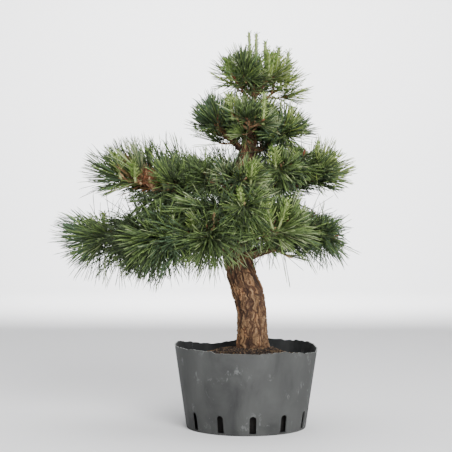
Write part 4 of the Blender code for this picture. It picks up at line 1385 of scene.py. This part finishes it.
class PINE_OT_boughs(bpy.types.Operator):
    """Grow every bough with its bark, out of a collar on what carries it"""

    bl_idname = "pine.boughs"
    bl_label = "Boughs"

    def execute(self, context):
        """Rings square to each bough's path: radius = taper * collar near the root * bark."""
        settings = context.scene.pine_bark
        around, rings = BOUGH_GRID
        grown = []
        for number, bough in enumerate(BOUGHS):
            path, radii = bough_path(bough, limbs(), rings)
            wobble = lattice_noise(np.zeros(rings), np.linspace(0, BOUGH_WOBBLES, rings), 2, 50 + number)
            path = path + UP * (wobble * radii * WOBBLE_SHARE)[:, None]
            run = np.concatenate(([0], np.cumsum(np.linalg.norm(np.diff(path, axis=0), axis=1))))
            buried = leaves_at(bough, limbs())[1]
            collar = 1 + COLLAR_SWELL * np.exp(-np.maximum(run - buried, 0) / COLLAR_REACH)
            u, v = np.broadcast_arrays(even_turns(around) / (2 * math.pi), run[:, None] * BOUGH_STRETCH)
            bark, tone = bark_surface(u, v, BOUGH_PLATES, 100 + number * 60)
            relief = 1 + (bark - BOUGH_MEAN) * BOUGH_RELIEF * settings.relief
            grown.append((path, (radii * collar)[:, None] * relief, bark, tone))
        paths, radii, bark, tone = (np.array(part) for part in zip(*grown))
        points, faces = tubes(paths, radii, around)
        layers = bark_layers(bark, tone, len(BOUGHS))
        look = pine_bark("young_pine_bark", settings, grain_mm=1.4)
        piece = new_piece("boughs_bark", points, faces, [look], layers=layers)
        settle(piece, "bark", *(f"bough_{bough.name}" for bough in BOUGHS))
        return {"FINISHED"}


class PINE_OT_twigs(bpy.types.Operator):
    """Grow the twigs and shoots that carry the needles"""

    bl_idname = "pine.twigs"
    bl_label = "Twigs"

    def execute(self, context):
        """Round tubes along each twig's curve, with a little random thickness as knots."""
        twigs = growth(context.scene.pine_foliage.shoots_per_twig)
        shares = np.linspace(0, 1, TWIG_RINGS)
        radii = np.array([np.interp(shares, (0, ELBOW, 1), row) for row in twigs.radii])
        knots = 1 + KNOT_SHARE * np.random.default_rng(4).uniform(-1, 1, radii.shape)
        points, faces = tubes(along(twigs, shares)[0], radii * knots, TWIG_SIDES)
        # Young shoots are tan, and rough with the scars of fallen needles, a few millimetres apart
        look = mottled(
            "tan_shoot_bark", ("#4a3526", "#7a5d41", "#9a7c5a"),
            grain_mm=3.5, roughness=0.88, relief_mm=0.5,
        )
        settle(new_piece("twigs", points, faces, [look]), "bark")
        return {"FINISHED"}


class PINE_OT_needles(bpy.types.Operator):
    """Grow the needles, in sprays of one shade each"""

    bl_idname = "pine.needles"
    bl_label = "Needles"

    def execute(self, context):
        """Each piece takes the sprays of its masses, and each blade the shade of its spray."""
        foliage = context.scene.pine_foliage
        twigs = growth(foliage.shoots_per_twig)
        shades = needle_shades(foliage)
        dealt = deal_shades(twigs)
        sizes = (foliage.needles_per_shoot, foliage.needle_length, foliage.needle_width)
        for seed, (name, starts) in enumerate(FOLIAGE_PIECES.items()):
            masses = [mass.name for mass in MASSES if mass.name.startswith(starts)]
            own = np.isin(twigs.mass, [MASS_NUMBERS[mass] for mass in masses])
            *shape, owners, grown = needles_on(some_of(twigs, own), *sizes, 200 + seed)
            points, faces = blades(*shape)
            picks = vary_shades(dealt[own][owners], grown, 300 + seed)
            piece = new_piece(name, points, [faces], shades, np.repeat(picks, BLADE_FACES))
            settle(piece, "needles", *(f"needles_{mass}" for mass in masses))
        return {"FINISHED"}


class PINE_OT_candles(bpy.types.Operator):
    """Grow the candles of new growth, with their young needles and buds"""

    bl_idname = "pine.candles"
    bl_label = "Candles"

    def execute(self, context):
        """Stems, then the young needles on all but the bare ones, and then the buds of the twigs."""
        settings = context.scene.pine_candles
        rng = np.random.default_rng(12)
        candles = candle_curves()
        dry = np.array([candle.dry for candle in CANDLES])
        # A candle without needles is a bare tan shoot with a bud
        bare = candles.radii == 0
        self.raise_stems(settings, candles, bare, dry, rng)
        self.clothe(settings, some_of(candles, ~bare), dry[~bare], rng)
        self.set_buds(settings, growth(context.scene.pine_foliage.shoots_per_twig), rng)
        return {"FINISHED"}

    def raise_stems(self, settings, candles, bare, dry, rng):
        """Round tubes along the candles' curves, of one outline for green stems and one for bare."""
        shares = np.linspace(0, 1, CANDLE_RINGS)
        outlines = [np.interp(shares, CANDLE_MARKS, row) for row in (CANDLE_RADII, BARE_RADII)]
        radii = np.array(outlines)[bare.astype(int)]
        radii = radii * (1 + STEM_UNEVEN * rng.uniform(-1, 1, radii.shape))
        points, faces = tubes(along(candles, shares)[0], radii, CANDLE_SIDES)
        # New growth is soft and pale, with a faint bloom
        soft = new_material("soft_candle_stem", settings.stem, 0.6, PLANT_IOR)[0]
        tan = mottled(
            "bare_tan_shoot", ("#7a5a40", "#a88462", "#c0a07c"),
            grain_mm=3.0, roughness=0.8, relief_mm=0.3,
        )
        kinds = tube_shades(bare | dry, CANDLE_RINGS, CANDLE_SIDES)
        settle(new_piece("candle_stems", points, faces, [soft, tan], kinds), "needles")

    def clothe(self, settings, candles, dry, rng):
        """Young needles by golden turns: their lean falls and their length swells, then shrinks,
        towards the candle's tip."""
        count, each = len(dry), settings.needles_per_candle
        opened = candles.radii[:, None]
        # The further a candle has opened, the more of its foot is bare
        bare = FOOT_BARE + BARE_BY_OPENING * opened
        shares = bare + (1 - bare) * (np.arange(each) + 0.5) / each
        places, ways = along(candles, shares)
        turns = np.arange(each) * GOLDEN_ANGLE + rng.uniform(0, 6, (count, 1))
        leans = YOUNG_LEAN_DEG - LEAN_BY_OPENING_DEG * opened - LEAN_BY_SHARE_DEG * shares
        leans = leans + DRY_LEAN_DEG * dry[:, None]
        spread = np.where(dry, DRY_SPREAD_DEG, YOUNG_SPREAD_DEG)[:, None]
        leans = np.radians(leans + spread * rng.normal(0, 1, (count, each)))
        heading = leaning(ways, leans, turns).reshape(-1, 3)
        swell = YOUNG_SWELL * np.sin(math.pi * np.clip(shares, 0, SWELLS_TO))
        sizes = opened * (YOUNG_FOOT + swell)
        sizes = sizes * rng.uniform(*YOUNG_LENGTHS, (count, each))
        # They stand in rings a few millimetres apart, which make the candle knobbly
        lengths = np.linalg.norm(candles.tip - candles.base, axis=1)[:, None]
        sizes = sizes * (1 + KNOB_SHARE * np.sin(2 * math.pi * shares * lengths / KNOB_SPACING))
        bends = rng.normal(0, YOUNG_BEND, heading.shape)
        # Two in five of a dead candle's needles are left
        dead = np.repeat(dry, each)
        left = ~dead | (rng.random(count * each) < DRY_LEFT)
        widths = np.where(dead, DRY_WIDTH, YOUNG_WIDTH)
        shape = (places.reshape(-1, 3), heading, bends, sizes.ravel(), widths)
        points, faces = blades(*(part[left] for part in shape))
        # A share of the young needles, picked at random, is pale: few on the lit top and half elsewhere,
        # where the paler green is painted light for candles in the shade of the tiers above
        looks = [
            new_material("young_needles", settings.young, 0.5, PLANT_IOR)[0],
            new_material("tender_needles", settings.tender, 0.5, PLANT_IOR)[0],
            new_material("dry_needles", settings.dry, 0.75, PLANT_IOR)[0],
        ]
        on_top = candles.mass == MASS_NUMBERS["top"]
        chance = np.repeat(np.where(on_top, PALE_SHARE_LIT_TOP, PALE_SHARE_SHADED_BELOW), each)
        tender = rng.random(count * each) < chance
        kinds = np.repeat(np.where(dead, 2, tender)[left], BLADE_FACES)
        settle(new_piece("candle_needles", points, [faces], looks, kinds), "needles")

    def set_buds(self, settings, shoots, rng):
        """Resting buds at some shoot tips: spindles a few millimetres wide, of rusty or pale scales."""
        shoots = some_of(shoots, rng.random(len(shoots.tip)) < BUD_SHARE)
        way = unit(shoots.tip - shoots.elbow)
        count = len(way)
        sizes = rng.uniform(*BUD_LENGTHS, count)[:, None]
        feet, middles, tips = (shoots.tip + way * far for far in (-BUD_SUNK, sizes * 0.5, sizes))
        shares = np.linspace(0, 1, BUD_RINGS)
        paths, _ = along(Twigs(feet, middles, tips, None, None), shares)
        radii = np.interp(shares, BUD_MARKS, BUD_RADII) * rng.uniform(*BUD_WIDTHS, (count, 1))
        points, faces = tubes(paths, radii, BUD_SIDES)
        rusty = new_material("rusty_bud_scales", settings.rust, 0.7, PLANT_IOR)[0]
        pale = new_material("pale_bud_scales", settings.bud, 0.7, PLANT_IOR)[0]
        kinds = tube_shades(rng.random(count) < PALE_BUDS, BUD_RINGS, BUD_SIDES)
        settle(new_piece("buds", points, faces, [rusty, pale], kinds), "needles")


class PINE_OT_pot(bpy.types.Operator):
    """Mould the pot, cut its rim and drain slots, and weather it"""

    bl_idname = "pine.pot"
    bl_label = "Pot"

    def execute(self, context):
        """Height = share of the way up * (pot's height + the rim's waves + its ragged cut), and radius
        = the foot's + slope * height - depth in the wall + flex."""
        settings = context.scene.pine_pot
        turn = even_turns(POT_AROUND)
        wave = sum(high * np.sin(many * turn + math.radians(phase)) for many, high, phase in RIM_WAVES)
        ragged = sum(
            RAGGED_HEIGHT * lattice_noise(turn / (2 * math.pi), np.zeros(POT_AROUND), many, many)
            for many in RAGGED_COUNTS
        )
        # Profile of the wall as (share of the way up, how deep in the wall), from the middle of the
        # underside out, up the outside, over the rim and down to the middle of the floor
        up = np.linspace(WALL_FROM, 1, WALL_ROWS)
        profile = [(0.0, FOOT_DEPTH), *((share, 0.0) for share in up), (1.0, 0.5)]
        profile += [(share, 1.0) for share in up[::-1]]
        share, depth = np.hsplit(np.array(profile), 2)
        height = share * (POT_HEIGHT + wave + ragged)
        flex = WALL_FLEX * np.sin(3 * turn + 1.0) * share * share
        radius = POT_FOOT_RADIUS + WALL_SLOPE * height - depth * settings.wall + flex
        rings = about_axis(radius, turn, height)
        rings = np.concatenate((rings, rings[-1:] * (1, 1, 0) + UP * POT_FLOOR))
        points, faces = closed_skin(rings, ((0, 0, 0), (0, 0, POT_FLOOR)))
        # The lower rows are outside, the rim's two are the pale cut edge, and the rest is inside, whose
        # near-black plastic is painted shade along with some dirt
        rows = np.digitize(np.arange(len(rings) - 1), (WALL_ROWS, WALL_ROWS + 2))
        shades = np.repeat((*np.array((0, 2, 1))[rows], 0, 1), POT_AROUND)
        looks = [
            weathered_plastic("weathered_polypropylene", settings.plastic, settings),
            weathered_plastic("damp_polypropylene", settings.inside, settings),
            mottled(
                "cut_polypropylene_edge", ("#5c5e5c", settings.cut, "#a3a6a1"),
                grain_mm=5.0, roughness=0.6, relief_mm=0.2, ior=PLASTIC_IOR,
            ),
        ]
        piece = new_piece("pot_shell", points, faces, looks, shades)
        self.cut_slots(context, piece)
        piece.data.set_sharp_from_angle(angle=math.radians(40))
        settle(piece, "pot_plastic", "pot")
        return {"FINISHED"}

    def cut_slots(self, context, piece):
        """Takes upright stadium prisms, round at the top, out of the wall."""
        half = SLOT_WIDTH / 2
        middle = SLOT_TOP - half
        arc = np.linspace(0, math.pi, SLOT_ARC_POINTS)
        outline = np.concatenate((
            np.stack((half * np.cos(arc), middle + half * np.sin(arc)), -1),
            ((-half, SLOT_BOTTOM), (half, SLOT_BOTTOM)),
        ))
        count = len(outline)
        ring = np.arange(count)
        points, quads, caps = [], [], []
        for i in range(SLOT_COUNT):
            out = level_way(SLOT_TURN_DEG + i * 360 / SLOT_COUNT)
            centre = out * (POT_FOOT_RADIUS + WALL_SLOPE * middle)
            flat = centre + np.cross(UP, out) * outline[:, :1] + UP * outline[:, 1:]
            points += [flat - out * SLOT_REACH, flat + out * SLOT_REACH]
            start = i * 2 * count
            quads.append(grid_faces(2, count) + start)
            caps += [ring[::-1] + start, ring + count + start]
        faces = [*np.concatenate(quads).tolist(), *(cap.tolist() for cap in caps)]
        cutter_mesh = bpy.data.meshes.new("slots")
        cutter_mesh.from_pydata(np.concatenate(points).tolist(), [], faces)
        cutter = bpy.data.objects.new("slots", cutter_mesh)
        context.scene.collection.objects.link(cutter)
        cut = piece.modifiers.new("slots", "BOOLEAN")
        cut.operation = "DIFFERENCE"
        cut.solver = "EXACT"
        cut.object = cutter
        context.view_layer.update()
        graph = context.evaluated_depsgraph_get()
        result = bpy.data.meshes.new_from_object(piece.evaluated_get(graph))
        piece.modifiers.clear()
        piece.data = result
        bpy.data.objects.remove(cutter)


class PINE_OT_soil(bpy.types.Operator):
    """Fill the pot with soil, crumbs and fallen needles"""

    bl_idname = "pine.soil"
    bl_label = "Soil"

    def execute(self, context):
        """Height = the part's slope + layered noise, and the sides stand a little off the wall."""
        around, count = SOIL_GRID
        turn = even_turns(around)
        out = np.linspace(SOIL_FROM, 1, count)[:, None] * SOIL_RADIUS
        top = about_axis(out, turn)
        top[..., 2] = self.surface(top[..., 0], top[..., 1])
        inset, low = ROOT_BALL
        sides = (
            (POT_FOOT_RADIUS - inset, ROOT_BALL_FOOT), (POT_FOOT_RADIUS - inset, low),
            (SOIL_RADIUS - SHOULDER[0], SHOULDER[1]),
        )
        lower = np.array([about_axis(radius, turn, height) for radius, height in sides])
        rings = np.concatenate((lower, top[::-1]))
        points, faces = closed_skin(rings, ((0, 0, ROOT_BALL_FOOT), (0, 0, SOIL_TOP)))
        looks = [
            # Moist potting soil is dark humus with crumbs a few millimetres across, and hardly reflects
            mottled(
                "potting_soil", ("#17100c", context.scene.pine_soil.earth, "#4d3828"),
                grain_mm=4.0, roughness=0.97, relief_mm=1.0,
            ),
            # Behind the slots the root ball's sides are near black: painted shade, for they lie in the dark
            mottled(
                "damp_root_ball", ("#080605", "#0e0a08", "#1b130e"),
                grain_mm=6.0, roughness=0.9, relief_mm=1.0,
            ),
        ]
        # The root ball's sides take the near-black material, painted shade behind the slots
        damp = np.arange(len(rings) - 1) < len(lower)
        piece = new_piece("soil_mound", points, faces, looks, np.repeat((*damp, 1, 0), around))
        settle(piece, "soil", "soil")
        rng = np.random.default_rng(15)
        self.scatter_crumbs(context.scene.pine_soil, rng)
        self.drop_needles(rng)
        return {"FINISHED"}

    def surface(self, x, y):
        """Height of the soil: its slope + lumps + grains + a mound round the trunk's foot."""
        reaches, falls = zip(*SOIL_SLOPE)
        fall = np.interp(np.hypot(x, y), (*reaches, SOIL_RADIUS), (*falls, SOIL_TOP - SOIL_EDGE))
        u, v = (x / LUMP_TILE) % 1.0, (y + LUMP_SHIFT) / LUMP_TILE
        lumps = layered_noise(u, v * LUMPS_ACROSS, LUMPS_ACROSS, 31, 3) * LUMP_HEIGHT
        lumps = lumps + layered_noise(u, v * GRAINS_ACROSS, GRAINS_ACROSS, 41, 2) * GRAIN_HEIGHT
        _, foot_x, foot_y, foot_radius = TRUNK[0]
        foot = np.hypot(x - foot_x, y - foot_y) - foot_radius
        mound = MOUND_HEIGHT * np.exp(-np.maximum(foot, 0) / MOUND_REACH)
        return SOIL_TOP - fall + lumps + mound - GRAIN_HEIGHT

    def scatter_crumbs(self, settings, rng):
        """Eight-sided stones squashed at random, most of them near the trunk's foot."""
        _, foot_x, foot_y, foot_radius = TRUNK[0]
        count = settings.crumbs
        widest = SOIL_RADIUS - CRUMB_MARGIN
        near = rng.random(count) < CRUMBS_NEAR
        turn = rng.uniform(0, 2 * math.pi, count)
        around_foot = foot_radius + CRUMBS_FROM + rng.exponential(CRUMBS_SPREAD, count)
        out = np.where(near, around_foot, widest * np.sqrt(rng.random(count)))
        x = np.where(near, foot_x, 0) + out * np.cos(turn)
        y = np.where(near, foot_y, 0) + out * np.sin(turn)
        kept = np.hypot(x, y) < widest
        x, y = x[kept], y[kept]
        count = len(x)
        size = rng.uniform(*CRUMB_SIZES, count)
        corners = np.array(((1, 0, 0), (0, 1, 0), (-1, 0, 0), (0, -1, 0), (0, 0, 1), (0, 0, -1)), float)
        tilt = unit(rng.normal(0, 1, (count, 3)))
        axes = np.stack((*frames(tilt), tilt), 1)
        squash = rng.uniform(*CRUMB_SQUASH, (count, len(corners), 1))
        shape = np.einsum("ck,nkj->ncj", corners, axes) * squash * size[:, None, None]
        middle = np.stack((x, y, self.surface(x, y) + size * CRUMB_RAISED), -1)
        points = (middle[:, None] + shape).reshape(-1, 3)
        sides = np.concatenate((fan(np.arange(4), 4, True), fan(np.arange(4), 5, False)))
        faces = (sides + np.arange(count)[:, None, None] * len(corners)).reshape(-1, 3)
        kinds = (
            ("dry_crumbs", ("#3a2c20", settings.crumb, "#6c5742")),
            ("humus_crumbs", ("#150e0a", "#150e09", "#221911")),
            ("bark_crumbs", ("#17100b", "#251a13", "#382b20")),
        )
        looks = [mottled(*kind, grain_mm=3.0, roughness=0.95, relief_mm=0.3) for kind in kinds]
        shades = np.repeat(rng.choice(len(kinds), count, p=CRUMB_KINDS), len(sides))
        settle(new_piece("soil_crumbs", points, [faces], looks, shades, sharp_deg=30), "soil")

    def drop_needles(self, rng):
        """Thin blades that lie level on the soil, at random. One that would reach the wall is short."""
        turn = rng.uniform(0, 2 * math.pi, FALLEN_COUNT)
        out = (SOIL_RADIUS - FALLEN_MARGIN) * np.sqrt(rng.random(FALLEN_COUNT))
        roots = about_axis(out, turn)
        lengths = rng.uniform(*FALLEN_LENGTHS, FALLEN_COUNT)
        way = about_axis(1.0, rng.uniform(0, 2 * math.pi, FALLEN_COUNT))
        end = np.hypot(*(roots + lengths[:, None] * way).T[:2])
        lengths = np.where(end > SOIL_RADIUS - FALLEN_TIP_MARGIN, FALLEN_SHORT, lengths)
        tips = roots + lengths[:, None] * way
        for ends, lift in zip((roots, tips), FALLEN_LIFTS):
            ends[:, 2] = self.surface(ends[:, 0], ends[:, 1]) + lift
        bends = rng.normal(0, FALLEN_BEND, roots.shape) * (1, 1, 0.2)
        widths = np.full(FALLEN_COUNT, FALLEN_WIDTH)
        points, faces = blades(roots, unit(tips - roots), bends, lengths, widths)
        fallen = mottled(
            "fallen_needles", ("#4c3a26", "#6a5336", "#87704c"),
            grain_mm=12.0, roughness=0.8, relief_mm=0.2,
        )
        settle(new_piece("fallen_needles", points, [faces], [fallen]), "soil")


class PINE_OT_stage(bpy.types.Operator):
    """Lay out a pale paper sweep, soft lights and the camera"""

    bl_idname = "pine.stage"
    bl_label = "Stage"

    def execute(self, context):
        """The sweep, disc lights that face their aims, a pale room and a level camera."""
        settings = context.scene.pine_studio
        self.sweep(settings)
        for name, place, aim, size, power in LIGHTS:
            data = bpy.data.lights.new(name, "AREA")
            data.shape = "DISK"
            data.size = size
            data.energy = power
            light = bpy.data.objects.new(name, data)
            light.location = place
            light.rotation_euler = self.facing(place, aim)
            context.scene.collection.objects.link(light)
        world = bpy.data.worlds.new("pale_room")
        world.use_nodes = True
        air = world.node_tree.nodes["Background"]
        air.inputs["Color"].default_value = linear(ROOM_COLOUR)
        air.inputs["Strength"].default_value = ROOM_LIGHT
        context.scene.world = world
        data = bpy.data.cameras.new("camera")
        data.lens = settings.lens
        data.sensor_width = SENSOR_MM
        camera = bpy.data.objects.new("camera", data)
        camera.location = settings.eye
        camera.rotation_euler = (math.radians(90), 0, 0)
        context.scene.collection.objects.link(camera)
        context.scene.camera = camera
        return {"FINISHED"}

    def facing(self, place, aim):
        """Angles that turn a light at a place to its aim."""
        x, y, z = (a - p for a, p in zip(aim, place))
        return (math.atan2(math.hypot(x, y), -z), 0.0, math.atan2(y, x) - math.pi / 2)

    def sweep(self, settings):
        """A round floor that curves up into a wall all the way about: a flat disc, a quarter circle
        turned about the middle, and a low wall."""
        arc = np.linspace(0, math.pi / 2, SWEEP_ARC_POINTS)
        bend = SWEEP_FLAT + SWEEP_BEND * np.sin(arc)
        out = np.concatenate(((SWEEP_MIDDLE,), bend, (SWEEP_FLAT + SWEEP_BEND,)))[:, None]
        high = np.concatenate(((0.0,), SWEEP_BEND * (1 - np.cos(arc)), (SWEEP_HEIGHT,)))[:, None]
        rings = about_axis(out, even_turns(SWEEP_AROUND), high).reshape(-1, 3)
        faces = [
            grid_faces(len(out), SWEEP_AROUND)[:, ::-1],
            fan(np.arange(SWEEP_AROUND), len(rings), True),
        ]
        points = np.concatenate((rings, [(0, 0, 0)]))
        paper = new_material("matt_paper", settings.paper, 0.9)[0]
        new_piece("paper_sweep", points, faces, [paper])


class PINE_PT_sidebar(bpy.types.Panel):
    bl_label = "Black pine"
    bl_idname = "PINE_PT_sidebar"
    bl_space_type = "VIEW_3D"
    bl_region_type = "UI"
    bl_category = "Pine"

    def draw(self, context):
        for group in SETTINGS:
            settings = getattr(context.scene, group)
            for name in settings.bl_rna.properties.keys():
                if name not in ("rna_type", "name"):
                    self.layout.prop(settings, name)
        for operator in OPERATORS:
            self.layout.operator(operator.bl_idname)


SETTINGS = {
    "pine_bark": PineBarkSettings,
    "pine_foliage": PineFoliageSettings,
    "pine_candles": PineCandleSettings,
    "pine_pot": PinePotSettings,
    "pine_soil": PineSoilSettings,
    "pine_studio": PineStudioSettings,
}
OPERATORS = (
    PINE_OT_trunk,
    PINE_OT_boughs,
    PINE_OT_twigs,
    PINE_OT_needles,
    PINE_OT_candles,
    PINE_OT_pot,
    PINE_OT_soil,
    PINE_OT_stage,
)


def register():
    """Registers the settings, the operators and the panel, and gives the scene its settings."""
    for kind in (*SETTINGS.values(), *OPERATORS, PINE_PT_sidebar):
        bpy.utils.register_class(kind)
    for name, kind in SETTINGS.items():
        setattr(bpy.types.Scene, name, PointerProperty(type=kind))


def unregister():
    """Takes away what register gave."""
    for name in SETTINGS:
        delattr(bpy.types.Scene, name)
    for kind in reversed((*SETTINGS.values(), *OPERATORS, PINE_PT_sidebar)):
        bpy.utils.unregister_class(kind)


def main():
    register()
    for operator in OPERATORS:
        getattr(bpy.ops.pine, operator.bl_idname.removeprefix("pine."))()


if __name__ == "__main__":
    main()
